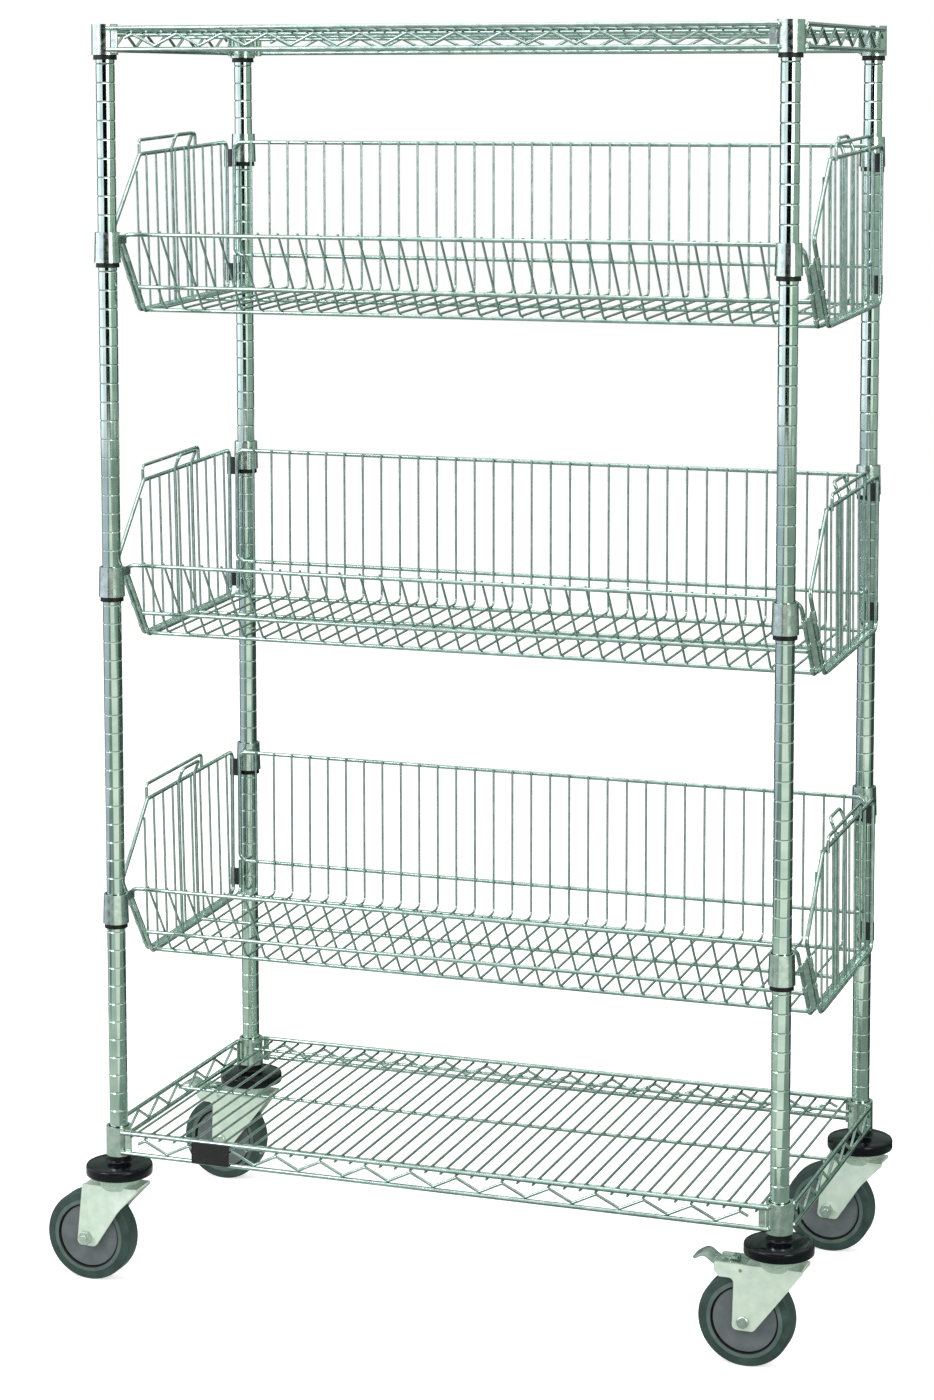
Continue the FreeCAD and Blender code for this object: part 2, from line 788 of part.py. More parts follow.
def make_fork(braked):
    """Two legs and a flat crown, with a cup pressed up in its middle to carry the swivel's balls."""
    outline, radii = fork_leg_outline(braked)
    wall = Vector(0, fork_wall, 0)
    fork = None
    for y in (-fork_half_width, fork_half_gap):
        leg = flat_plate([Vector(x, y, z) for x, z in outline], radii, wall)
        fork = leg if fork is None else fork.fuse(leg)
    crown_front = brake_crown_front if braked else fork_top_front - 2.0
    crown = Part.makeBox(crown_front + fork_top_back - 2.0, 2 * fork_half_width, crown_thickness,
                         Vector(-crown_front, -fork_half_width, crown_bottom))
    king_bore = king_pin_radius + running_clearance
    hollow = fork_half_gap - fork_wall
    race_top = cup_top + race_height
    cup = turned([(king_bore, cup_bottom), (hollow, cup_bottom), (hollow, crown_bottom),
                  (race_radius, crown_bottom), (race_radius, race_top - 1), (race_radius - 1, race_top),
                  (race_radius - race_wall, race_top), (race_radius - race_wall, cup_top),
                  (king_bore, cup_top)])
    width = 2 * fork_half_width
    axle_start = Vector(-caster_trail, -fork_half_width, axle_height)
    cuts = [Part.makeCylinder(axle_diameter / 2, width, axle_start, AXIS_Y)]
    if braked:
        pin_start = Vector(-brake_pivot_offset, -fork_half_width, brake_pivot_height())
        cuts.append(Part.makeCylinder(brake_pin_diameter / 2, width, pin_start, AXIS_Y))
    opened = crown.cut(Part.makeCylinder(hollow, crown_thickness, Vector(0, 0, crown_bottom)))
    return fork.fuse([opened, cup]).cut(cuts).removeSplitter().Solids[0]


def hexagon(across_flats, thickness):
    radius = across_flats / math.sqrt(3)
    turns = [i * math.pi / 3 for i in range(7)]
    corners = [Vector(radius * math.cos(turn), radius * math.sin(turn), 0) for turn in turns]
    return Part.Face(Part.makePolygon(corners)).extrude(Vector(0, 0, thickness))


def make_axle(nut_in_front):
    """Axle bolt with a domed head on one side of the fork and its nut on the other."""
    radius = axle_diameter / 2
    head = 0.85 * axle_diameter
    nut_height = 0.8 * axle_diameter
    head_end = -fork_half_width - 0.5 * axle_diameter
    bolt_end = fork_half_width + nut_height + 2.0
    bolt = turned_rounded([(0, head_end), (head, head_end), (head, -fork_half_width),
                           (radius, -fork_half_width), (radius, bolt_end), (0, bolt_end)],
                          [0, 0.3 * axle_diameter, 0, 0, 1.0, 0])
    nut = hexagon(1.7 * axle_diameter, nut_height).cut(Part.makeCylinder(radius, nut_height))
    nut.translate(Vector(0, 0, fork_half_width))
    pieces = []
    for piece in (bolt, nut):
        turned_piece = piece.copy()
        turned_piece.rotate(ORIGIN, AXIS_X, 90 if nut_in_front else -90)
        pieces.append(at(turned_piece, -caster_trail, 0, axle_height))
    return pieces


def on_axle(shape):
    turned_shape = shape.copy()
    turned_shape.rotate(ORIGIN, AXIS_X, 90)
    return at(turned_shape, -caster_trail, 0, axle_height)


def make_tyre():
    """Tyre with a narrow lip beside the hub, a lower side and rounded shoulders."""
    half = wheel_width / 2
    tread = wheel_diameter / 2
    lip = hub_radius + tyre_lip_width
    side = [(hub_radius, half - tyre_bead_rise), (hub_radius + tyre_bead_chamfer, half), (lip, half),
            (lip + tyre_lip_step, half - tyre_lip_step), (tread, half - tyre_lip_step - tyre_side_taper)]
    outline = side + [(r, -h) for r, h in reversed(side)]
    radii = [0, 0, 0, 0, tyre_shoulder_radius]
    return on_axle(turned_rounded(outline, radii + radii[::-1]))


def make_hub():
    """Wheel centre: a recessed disc, a boss round the bush and a narrow groove beside the tyre."""
    half = wheel_width / 2
    boss = bush_radius + hub_boss_wall
    disc = hub_radius - hub_groove_width
    face = half - hub_recess
    side = [(bush_radius, half + hub_boss_rise), (boss, half + hub_boss_rise),
            (boss + hub_boss_slope, face), (disc, face), (disc, face - hub_groove_depth),
            (hub_radius, face - hub_groove_depth)]
    return on_axle(turned(side + [(r, -h) for r, h in reversed(side)]))


def make_bush():
    half = fork_half_gap - 6 * running_clearance
    bore = axle_diameter / 2 + running_clearance
    return on_axle(turned([(bore, -half), (bush_radius, -half), (bush_radius, half), (bore, half)]))


# Brake
def brake_pivot_height():
    return crown_top - brake_pivot_drop


def make_pedal():
    """Lever on the pin between the fork's cheeks, with a curved tongue outside and a shoe over the tyre."""
    half = pedal_width / 2
    pivot = Vector(-brake_pivot_offset, -half, brake_pivot_height())
    barrel_radius = brake_pin_diameter / 2 + running_clearance + brake_barrel_wall
    lever_z = brake_pivot_height() + barrel_radius - pedal_thickness / 2
    arch = (brake_reach + pedal_tip_reach) / 2
    path = [Vector(-brake_pivot_offset, 0, lever_z), Vector(-brake_reach, 0, lever_z),
            Vector(-arch, 0, crown_top + pedal_arch_rise),
            Vector(-pedal_tip_reach, 0, crown_top - pedal_tip_drop)]
    low = lever_z - pedal_thickness / 2
    corners = [Vector(-brake_pivot_offset, y, low + t) for y, t in
               ((-half, 0), (half, 0), (half, pedal_thickness), (-half, pedal_thickness))]
    section = Part.makePolygon(corners + corners[:1])
    lever = Part.Wire(rounded_edges(path, pedal_bend)).makePipeShell([section], True, False)
    barrel = Part.makeCylinder(barrel_radius, pedal_width, pivot, AXIS_Y)
    shoe_x = -brake_pivot_offset - shoe_from_pivot - shoe_length
    shoe = Part.makeBox(shoe_length, pedal_width, low - axle_height, Vector(shoe_x, -half, axle_height))
    tread = Part.makeCylinder(wheel_diameter / 2 + shoe_gap_pressed, pedal_width,
                              Vector(-caster_trail, -half, axle_height), AXIS_Y)
    tread.rotate(pivot, AXIS_Y, brake_press_angle)
    bore = Part.makeCylinder(brake_pin_diameter / 2 + running_clearance, pedal_width, pivot, AXIS_Y)
    return lever.fuse([barrel, shoe.cut(tread)]).cut(bore).removeSplitter().Solids[0]


def make_brake_pin():
    start = Vector(-brake_pivot_offset, -fork_half_width - 0.5, brake_pivot_height())
    return Part.makeCylinder(brake_pin_diameter / 2, 2 * fork_half_width + 1.0, start, AXIS_Y)


def make_casters():
    places = list(CORNERS.values())
    save("caster_stems", [at(make_stem(), x, y, 0) for x, y in places])
    save("caster_stem_bushes", [at(make_stem_bush(), x, y, 0) for x, y in places])
    save("caster_bumpers", [at(make_bumper(), x, y, 0) for x, y in places])
    save("swivel_balls", [at(ball, x, y, 0) for x, y in places for ball in make_balls()])
    for corner, (x, y) in CORNERS.items():
        braked = corner in BRAKED
        save(f"caster_fork_{corner}", [at(make_fork(braked), x, y, 0)])
        save(f"caster_axle_{corner}", [at(piece, x, y, 0) for piece in make_axle(not braked)])
        save(f"caster_tyre_{corner}", [at(make_tyre(), x, y, 0)])
        save(f"caster_hub_{corner}", [at(make_hub(), x, y, 0)])
        save(f"caster_bush_{corner}", [at(make_bush(), x, y, 0)])
        if braked:
            save(f"brake_pedal_{corner}", [at(make_pedal(), x, y, 0)])
            save(f"brake_pin_{corner}", [at(make_brake_pin(), x, y, 0)])


os.makedirs("parts", exist_ok=True)
post = make_post()
for corner, (x, y) in CORNERS.items():
    save(f"post_{corner}", [at(post, x, y, 0)])
save("post_caps", [at(make_cap(), x, y, 0) for x, y in CORNERS.values()])
save("split_sleeves", [at(half, *ring) for ring in tier_rings() for half in make_sleeve_halves()])
make_shelf("bottom", bottom_ring)
make_shelf("top", top_ring)
save("blank_name_plate", [make_name_plate()])
basket_parts = (basket_mat(), basket_rods(), {side: basket_side(sign) for side, sign in SIDES.items()})
for name in basket_notches:
    make_basket(name, *basket_parts)
save("basket_joint_strips", [strip for name in basket_notches for strip in placed(name, joint_strips())])
save("basket_joint_clips", [clip for name in basket_notches for clip in placed(name, joint_clips())])
make_casters()
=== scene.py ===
# %% [markdown]
# A mobile basket shelving unit, dressed for the studio.
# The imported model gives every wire, tube and caster its place. This script loads it as a fixed frame, gives
# each piece the finish of the real one, and adds the small forms that a plain solid leaves out.

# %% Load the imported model
import math

import bmesh
import bpy
from mathutils import Matrix, Vector


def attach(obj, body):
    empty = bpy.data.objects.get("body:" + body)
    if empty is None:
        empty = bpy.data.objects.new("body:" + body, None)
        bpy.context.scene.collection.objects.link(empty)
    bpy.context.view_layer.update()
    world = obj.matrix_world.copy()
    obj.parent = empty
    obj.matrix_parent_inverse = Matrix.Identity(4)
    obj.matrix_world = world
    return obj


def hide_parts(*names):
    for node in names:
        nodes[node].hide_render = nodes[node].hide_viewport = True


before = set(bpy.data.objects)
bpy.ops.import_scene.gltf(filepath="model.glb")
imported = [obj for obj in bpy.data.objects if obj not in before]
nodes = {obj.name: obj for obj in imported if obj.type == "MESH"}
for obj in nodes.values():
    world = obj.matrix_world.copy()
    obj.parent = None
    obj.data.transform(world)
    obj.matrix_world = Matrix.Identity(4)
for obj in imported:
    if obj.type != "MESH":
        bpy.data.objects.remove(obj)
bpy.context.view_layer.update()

# %% [markdown]
# A photograph of a tall unit is usually taken from a level camera whose back is shifted, so that the posts
# stay upright. A large shift would push the unit out of the frame in other views, so this camera tips down
# a little and shifts only for the rest. Its place was fitted to the posts and collars of the photograph: it
# stands about level with the top shelf, so that the back truss lies behind the front one.

# %% Camera
FRAME_LONG_SIDE = 1400
FOCAL_PIXELS = 3282.0
SENSOR_MM = 36.0
CAMERA_PLACE = (1.5107, -4.2470, 1.6600)
CAMERA_TURN = 19.555
CAMERA_TIP = 6.352
CAMERA_SHIFT = (-0.0204, -0.175)
camera_data = bpy.data.cameras.new("studio_camera")
camera_data.sensor_width = SENSOR_MM
camera_data.lens = FOCAL_PIXELS / FRAME_LONG_SIDE * SENSOR_MM
camera_data.shift_x, camera_data.shift_y = CAMERA_SHIFT
camera = bpy.data.objects.new("studio_camera", camera_data)
camera.location = CAMERA_PLACE
turn = Matrix.Rotation(math.radians(CAMERA_TURN), 4, "Z")
tip = Matrix.Rotation(math.radians(90 - CAMERA_TIP), 4, "X")
camera.rotation_euler = (turn @ tip).to_euler()
bpy.context.scene.collection.objects.link(camera)
bpy.context.scene.camera = camera
bpy.context.scene.view_settings.view_transform = "Standard"
print("camera lens", round(camera_data.lens, 1), "mm")

# %% [markdown]
# Colours are written as the sRGB hex values that a picture shows, and one function turns them to the linear
# numbers that a shader wants. One small function adds a shader node, sets its values and links it. Patterns
# are sized in millimetres on the real thing, and a noise wants to know how many of its lumps go into a
# metre. A noise seldom leaves the middle part of its range, so that part is what a finish stretches over
# its own range.

# %% Colour and node helpers
MM = 0.001
NOISE_SPAN = {"From Min": 0.3, "From Max": 0.7}
# a Mix node has its sockets once for each kind of value, so those for colours go by their numbers
MIX_SHARE = 0
MIX_FIRST = 6
MIX_SECOND = 7
MIX_COLOUR = 2


def linear(hex_colour):
    channels = [int(hex_colour[i:i + 2], 16) / 255 for i in (1, 3, 5)]
    return tuple(c / 12.92 if c <= 0.04045 else ((c + 0.055) / 1.055) ** 2.4 for c in channels) + (1.0,)


def add_node(tree, kind, values=None, links=None, **settings):
    """Adds a shader node; values sets its sockets and links joins them to other nodes' outputs."""
    made = tree.nodes.new("ShaderNode" + kind)
    for name, value in settings.items():
        setattr(made, name, value)
    for socket, value in (values or {}).items():
        made.inputs[socket].default_value = value
    for socket, output in (links or {}).items():
        tree.links.new(output, made.inputs[socket])
    return made


def per_metre(size_mm):
    return 1000.0 / size_mm


def empty_material(name):
    material = bpy.data.materials.new(name)
    material.use_nodes = True
    material.node_tree.nodes.clear()
    return material, material.node_tree


def start_material(name):
    """A new material and its node tree, with the object coordinates of the piece that wears it."""
    material, tree = empty_material(name)
    place = add_node(tree, "TexCoord").outputs["Object"]
    return material, tree, place


print("white is", linear("#ffffff"))

# %% [markdown]
# Bright plated metal. It is a metal with a pale, faintly green colour. The plating over drawn wire is not
# quite even: patches a few millimetres long differ in gloss, and a shallow ripple breaks the reflections.
# Two noises do this: a wide one mixes two colours, and a fine one sets the roughness and, as a height, the
# ripple. The wires, the collars and the swivel's balls share the recipe with other colours and sizes.

# %% Plated metal
def plated(name, dark, light, smooth, rough, patch_mm, ripple_mm, depth_mm):
    material, tree, place = start_material(name)
    cloud = add_node(tree, "TexNoise", {"Scale": per_metre(patch_mm), "Detail": 3.0}, {"Vector": place})
    ripple = add_node(tree, "TexNoise", {"Scale": per_metre(ripple_mm), "Detail": 2.0}, {"Vector": place})
    patch = add_node(tree, "MapRange", NOISE_SPAN, {"Value": cloud.outputs["Fac"]})
    colour = add_node(tree, "Mix", {MIX_FIRST: linear(dark), MIX_SECOND: linear(light)},
                      {MIX_SHARE: patch.outputs["Result"]}, data_type="RGBA")
    gloss = add_node(tree, "MapRange", {**NOISE_SPAN, "To Min": smooth, "To Max": rough},
                     {"Value": ripple.outputs["Fac"]})
    relief = add_node(tree, "Bump", {"Distance": depth_mm * MM}, {"Height": ripple.outputs["Fac"]})
    shader = add_node(tree, "BsdfPrincipled", {"Metallic": 1.0},
                      {"Base Color": colour.outputs[MIX_COLOUR], "Roughness": gloss.outputs["Result"],
                       "Normal": relief.outputs["Normal"]})
    add_node(tree, "OutputMaterial", None, {"Surface": shader.outputs["BSDF"]})
    return material


wire_chrome = plated("bright_plated_wire", "#93aba2", "#bacdc5", 0.10, 0.22, 14, 4, 0.05)
collar_chrome = plated("bright_plated_collar", "#b3c4ba", "#d6e3da", 0.12, 0.26, 11, 6, 0.02)
ball_steel = plated("greased_bearing_steel", "#5d6058", "#a8aca6", 0.15, 0.45, 4, 4, 0.03)
print("made", wire_chrome.name, collar_chrome.name, ball_steel.name)

# %% [markdown]
# Plated tube. Long faint lines run along a drawn tube, so this noise is stretched forty times along the
# post. The grooves, which come every 25.4 mm, get a painted shade: the height is divided by that pitch,
# the whole turns are dropped, and what lies within 0.6 mm of a groove's middle is painted darker.

# %% Plated tube
GROOVE_PITCH = 0.0254
GROOVE_START = 0.196
GROOVE_SHADE_SHARE = 0.025
TUBE_LINE_WIDTH = 2
TUBE_LINE_LENGTH = 40.0
TUBE_LINE_DEPTH = 0.02
TUBE_PATCH = 40


def plated_tube():
    material, tree, place = start_material("drawn_plated_tube")
    drawn = add_node(tree, "Mapping", {"Scale": (1.0, 1.0, 1.0 / TUBE_LINE_LENGTH)}, {"Vector": place})
    lines = add_node(tree, "TexNoise", {"Scale": per_metre(TUBE_LINE_WIDTH), "Detail": 4.0},
                     {"Vector": drawn.outputs["Vector"]})
    cloud = add_node(tree, "TexNoise", {"Scale": per_metre(TUBE_PATCH), "Detail": 3.0}, {"Vector": place})
    patch = add_node(tree, "MapRange", NOISE_SPAN, {"Value": cloud.outputs["Fac"]})
    bright = add_node(tree, "Mix", {MIX_FIRST: linear("#b4cbbf"), MIX_SECOND: linear("#d4e4da")},
                      {MIX_SHARE: patch.outputs["Result"]}, data_type="RGBA")
    height = add_node(tree, "SeparateXYZ", None, {"Vector": place})
    pitches = add_node(tree, "Math", {1: GROOVE_PITCH}, {0: height.outputs["Z"]}, operation="DIVIDE")
    phase = add_node(tree, "Math", {1: 0.5 - GROOVE_START / GROOVE_PITCH % 1},
                     {0: pitches.outputs[0]}, operation="ADD")
    part = add_node(tree, "Math", None, {0: phase.outputs[0]}, operation="FRACT")
    # painted shade: a thin band at each groove's middle is mixed to a darker colour
    groove = add_node(tree, "Math", {1: 0.5, 2: GROOVE_SHADE_SHARE}, {0: part.outputs[0]}, operation="COMPARE")
    colour = add_node(tree, "Mix", {MIX_SECOND: linear("#a9bbb1")},
                      {MIX_SHARE: groove.outputs[0], MIX_FIRST: bright.outputs[MIX_COLOUR]},
                      data_type="RGBA")
    gloss = add_node(tree, "MapRange", {**NOISE_SPAN, "To Min": 0.04, "To Max": 0.12},
                     {"Value": lines.outputs["Fac"]})
    relief = add_node(tree, "Bump", {"Distance": TUBE_LINE_DEPTH * MM}, {"Height": lines.outputs["Fac"]})
    shader = add_node(tree, "BsdfPrincipled", {"Metallic": 1.0},
                      {"Base Color": colour.outputs[MIX_COLOUR], "Roughness": gloss.outputs["Result"],
                       "Normal": relief.outputs["Normal"]})
    add_node(tree, "OutputMaterial", None, {"Surface": shader.outputs["BSDF"]})
    return material


tube_chrome = plated_tube()
print("made", tube_chrome.name)

# %% [markdown]
# Zinc plate. Caster forks, pedals, bolts and joint strips are duller than the wire: the colour is mottled,
# and scuffs run across it, which are a fine noise stretched sideways. Passivated zinc is chalky, so the
# fork is only partly a metal to the shader; the joint strips and the bolts are the brightest.

# %% Zinc plate
SCUFF_WIDTH = 1.2
SCUFF_LENGTH = 12.0
SCUFF_DEPTH = 0.012
MOTTLE_SPAN = {"From Min": 0.28, "From Max": 0.72}


def zinc_plate(name, dark, light, smooth, rough, mottle_mm, metallic):
    material, tree, place = start_material(name)
    sideways = add_node(tree, "Mapping", {"Scale": (1.0 / SCUFF_LENGTH, 1.0 / SCUFF_LENGTH, 1.0)},
                        {"Vector": place})
    scuffs = add_node(tree, "TexNoise", {"Scale": per_metre(SCUFF_WIDTH), "Detail": 3.0},
                      {"Vector": sideways.outputs["Vector"]})
    cloud = add_node(tree, "TexNoise", {"Scale": per_metre(mottle_mm), "Detail": 5.0}, {"Vector": place})
    mottle = add_node(tree, "MapRange", MOTTLE_SPAN, {"Value": cloud.outputs["Fac"]})
    colour = add_node(tree, "Mix", {MIX_FIRST: linear(dark), MIX_SECOND: linear(light)},
                      {MIX_SHARE: mottle.outputs["Result"]}, data_type="RGBA")
    gloss = add_node(tree, "MapRange", {**NOISE_SPAN, "To Min": smooth, "To Max": rough},
                     {"Value": scuffs.outputs["Fac"]})
    relief = add_node(tree, "Bump", {"Distance": SCUFF_DEPTH * MM}, {"Height": scuffs.outputs["Fac"]})
    shader = add_node(tree, "BsdfPrincipled", {"Metallic": metallic},
                      {"Base Color": colour.outputs[MIX_COLOUR], "Roughness": gloss.outputs["Result"],
                       "Normal": relief.outputs["Normal"]})
    add_node(tree, "OutputMaterial", None, {"Surface": shader.outputs["BSDF"]})
    return material


fork_zinc = zinc_plate("pale_fork_zinc", "#c8dbcb", "#deebda", 0.32, 0.40, 14, 0.30)
cup_zinc = zinc_plate("pressed_cup_zinc", "#b2c7b7", "#c2d5c5", 0.22, 0.30, 24, 0.50)
pedal_zinc = zinc_plate("worn_pedal_zinc", "#9db1a6", "#c4d4c9", 0.20, 0.36, 9, 0.75)
bolt_zinc = zinc_plate("bright_bolt_zinc", "#b3c2b8", "#d8e3da", 0.16, 0.28, 5, 0.85)
strip_zinc = zinc_plate("rolled_strip_zinc", "#a9bcb2", "#cddcd3", 0.14, 0.30, 9, 0.92)
print("made", fork_zinc.name, cup_zinc.name, pedal_zinc.name, bolt_zinc.name, strip_zinc.name)

# %% [markdown]
# Moulded plastics. Sleeves and caps are matt black with the fine grain of a spark-eroded mould; the bumpers
# are smoother and deeper black; the wheel centre is a dark slate grey. The colour and the gloss drift
# together over patches of two centimetres, as the flow of the melt leaves them.

# %% Moulded plastics
FLOW_PATCH = 20
FLOW_SPAN = {"From Min": 0.3, "From Max": 0.75}


def moulded(name, dark, light, smooth, rough, grain_mm, depth_mm, gloss_level):
    material, tree, place = start_material(name)
    cloud = add_node(tree, "TexNoise", {"Scale": per_metre(FLOW_PATCH), "Detail": 4.0}, {"Vector": place})
    grain = add_node(tree, "TexNoise", {"Scale": per_metre(grain_mm), "Detail": 2.0}, {"Vector": place})
    flow = add_node(tree, "MapRange", FLOW_SPAN, {"Value": cloud.outputs["Fac"]})
    colour = add_node(tree, "Mix", {MIX_FIRST: linear(dark), MIX_SECOND: linear(light)},
                      {MIX_SHARE: flow.outputs["Result"]}, data_type="RGBA")
    gloss = add_node(tree, "MapRange", {"To Min": smooth, "To Max": rough},
                     {"Value": flow.outputs["Result"]})
    relief = add_node(tree, "Bump", {"Distance": depth_mm * MM}, {"Height": grain.outputs["Fac"]})
    shader = add_node(tree, "BsdfPrincipled", {"Specular IOR Level": gloss_level},
                      {"Base Color": colour.outputs[MIX_COLOUR], "Roughness": gloss.outputs["Result"],
                       "Normal": relief.outputs["Normal"]})
    add_node(tree, "OutputMaterial", None, {"Surface": shader.outputs["BSDF"]})
    return material


sleeve_black = moulded("black_sleeve_nylon", "#050606", "#0d0f0f", 0.36, 0.52, 0.8, 0.04, 0.3)
bumper_black = moulded("black_bumper_plastic", "#030509", "#080b12", 0.12, 0.24, 1.2, 0.01, 0.24)
plate_black = moulded("bare_black_plate", "#0c0d0d", "#191b1b", 0.28, 0.44, 1.0, 0.02, 0.5)
hub_grey = moulded("slate_hub_plastic", "#545b5d", "#666d6f", 0.45, 0.60, 0.8, 0.04, 0.5)
print("made", sleeve_black.name, bumper_black.name, plate_black.name, hub_grey.name)

# %% [markdown]
# Cushion rubber. A grey tyre that does not mark the floor: dull, a little green, and dusty where it has
# rolled. One noise goes through two ranges: low down it mixes clean rubber with worn, and only its peaks
# add the dust. The lip beside the hub is paler than the tread.

# %% Cushion rubber
WEAR_PATCH = 16
WEAR_SPAN = {"From Min": 0.32, "From Max": 0.62}
DUST_SPAN = {"From Min": 0.62, "From Max": 0.85}
RUBBER_GRAIN = 0.9
RUBBER_GRAIN_DEPTH = 0.06


def cushion_rubber(name, clean, worn, dusty):
    material, tree, place = start_material(name)
    cloud = add_node(tree, "TexNoise", {"Scale": per_metre(WEAR_PATCH), "Detail": 6.0}, {"Vector": place})
    grain = add_node(tree, "TexNoise", {"Scale": per_metre(RUBBER_GRAIN), "Detail": 3.0}, {"Vector": place})
    wear = add_node(tree, "MapRange", WEAR_SPAN, {"Value": cloud.outputs["Fac"]})
    dust = add_node(tree, "MapRange", DUST_SPAN, {"Value": cloud.outputs["Fac"]})
    rolled = add_node(tree, "Mix", {MIX_FIRST: linear(clean), MIX_SECOND: linear(worn)},
                      {MIX_SHARE: wear.outputs["Result"]}, data_type="RGBA")
    colour = add_node(tree, "Mix", {MIX_SECOND: linear(dusty)},
                      {MIX_SHARE: dust.outputs["Result"], MIX_FIRST: rolled.outputs[MIX_COLOUR]},
                      data_type="RGBA")
    gloss = add_node(tree, "MapRange", {**NOISE_SPAN, "To Min": 0.50, "To Max": 0.74},
                     {"Value": cloud.outputs["Fac"]})
    relief = add_node(tree, "Bump", {"Distance": RUBBER_GRAIN_DEPTH * MM}, {"Height": grain.outputs["Fac"]})
    shader = add_node(tree, "BsdfPrincipled", None,
                      {"Base Color": colour.outputs[MIX_COLOUR], "Roughness": gloss.outputs["Result"],
                       "Normal": relief.outputs["Normal"]})
    add_node(tree, "OutputMaterial", None, {"Surface": shader.outputs["BSDF"]})
    return material


tyre_rubber = cushion_rubber("grey_cushion_rubber", "#20342f", "#2b453f", "#3d5850")
lip_rubber = cushion_rubber("worn_lip_rubber", "#465953", "#53675f", "#63766e")
print("made", tyre_rubber.name, lip_rubber.name)

# %% [markdown]
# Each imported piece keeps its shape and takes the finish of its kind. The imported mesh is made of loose
# triangles, so a weld joins them and an edge split keeps the sharp edges sharp, while round wires are
# shaded smooth.

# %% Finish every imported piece
WELD_DISTANCE = 0.000002
SHARP_ANGLE = math.radians(22)
FINISHES = {"post_caps": sleeve_black, "post_": tube_chrome, "split_sleeves": sleeve_black,
            "blank_name_plate": plate_black, "basket_joint_clips": strip_zinc,
            "basket_joint_strips": strip_zinc, "caster_stem_bushes": sleeve_black,
            "caster_stems": bolt_zinc, "swivel_balls": ball_steel, "caster_bumpers": bumper_black,
            "caster_fork": fork_zinc, "caster_axle": bolt_zinc, "caster_tyre": tyre_rubber,
            "caster_hub": hub_grey, "caster_bush_": bolt_zinc, "brake_pedal": pedal_zinc,
            "brake_pin": bolt_zinc}


def finish_of(name):
    if name.endswith("collars"):
        return collar_chrome
    for start, material in FINISHES.items():
        if name.startswith(start):
            return material
    return wire_chrome


def smooth_node(node):
    """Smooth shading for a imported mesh, with its sharp edges kept."""
    node.data.polygons.foreach_set("use_smooth", [True] * len(node.data.polygons))
    weld = node.modifiers.new("weld", "WELD")
    weld.merge_threshold = WELD_DISTANCE
    split = node.modifiers.new("sharp_edges", "EDGE_SPLIT")
    split.split_angle = SHARP_ANGLE


for name, node in nodes.items():
    node.data.materials.clear()
    node.data.materials.append(finish_of(name))
    smooth_node(node)
print("finished", len(nodes), "packed pieces")

# %% [markdown]
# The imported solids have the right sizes, but some pieces of formed sheet and moulded plastic are softer and
# busier in life. Those are modelled here in bmesh, drawn in millimetres in the unit's own frame and scaled
# to metres at the end, so a size read off the real thing can be typed as it is. One function turns such a
# mesh into a piece that rides on a body, and another copies one mesh into a larger one.

# %% New pieces
POST_X = 475.0
POST_Y = 228.0
CORNERS = {"front_left": (-POST_X, -POST_Y), "front_right": (POST_X, -POST_Y),
           "back_left": (-POST_X, POST_Y), "back_right": (POST_X, POST_Y)}
BRAKED = ("front_right", "back_left")
SEAM = 0.002


def finish_piece(name, shape, finish, body, replaced=(), sharp=38):
    """Closes a bmesh drawn in millimetres and hangs it on a body as a finished piece."""
    bmesh.ops.remove_doubles(shape, verts=shape.verts, dist=SEAM)
    bmesh.ops.recalc_face_normals(shape, faces=shape.faces)
    bmesh.ops.scale(shape, vec=(MM, MM, MM), verts=shape.verts)
    mesh = bpy.data.meshes.new(name)
    shape.to_mesh(mesh)
    shape.free()
    mesh.shade_smooth()
    mesh.set_sharp_from_angle(angle=math.radians(sharp))
    mesh.materials.append(finish)
    piece = bpy.data.objects.new(name, mesh)
    bpy.context.scene.collection.objects.link(piece)
    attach(piece, body)
    if replaced:
        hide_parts(*replaced)
    print(name, "has", len(mesh.polygons), "faces")
    return piece


def add_to(whole, part, move=(0, 0, 0)):
    """Copies a part's geometry into a larger bmesh, moved, and frees the part."""
    bmesh.ops.translate(part, vec=move, verts=part.verts)
    carrier = bpy.data.meshes.new("carrier")
    part.to_mesh(carrier)
    part.free()
    whole.from_mesh(carrier)
    bpy.data.meshes.remove(carrier)


print("pieces are drawn about posts at", POST_X, POST_Y)

# %% [markdown]
# Most of these pieces begin as a flat outline or as half a section. An outline's corners are rounded by a
# bevel on its vertices, the face is extruded to a plate, and the plate's edges are broken by a bevel on its
# edges. A turned form is a section spun once round an upright axis.

# %% Helpers for shaping
def round_corner(shape, corner, radius, steps=6):
    """Rounds one corner of a flat outline; the bevel starts where an arc of that radius would."""
    first, second = [edge.other_vert(corner).co - corner.co for edge in corner.link_edges]
    start = radius / math.tan(first.angle(second) / 2)
    bmesh.ops.bevel(shape, geom=[corner], offset=start, offset_type="OFFSET", segments=steps, profile=0.5,
                    affect="VERTICES", material=-1)


def outline_face(shape, points, radii, steps=6):
    """A flat face through the points, with each corner rounded by its radius."""
    corners = [shape.verts.new(point) for point in points]
    shape.faces.new(corners)
    for corner, radius in zip(corners, radii):
        if radius:
            round_corner(shape, corner, radius, steps)
    return shape.faces[:]


def verts_in(geometry):
    return [v for v in geometry if isinstance(v, bmesh.types.BMVert)]


def thicken(shape, faces, vector):
    """Extrudes flat faces to a plate."""
    made = bmesh.ops.extrude_face_region(shape, geom=faces, use_keep_orig=True)["geom"]
    bmesh.ops.translate(shape, vec=vector, verts=verts_in(made))
    bmesh.ops.recalc_face_normals(shape, faces=shape.faces)


def crisp_edges(shape, least=50):
    return [e for e in shape.edges if e.is_manifold and e.calc_face_angle() > math.radians(least)]


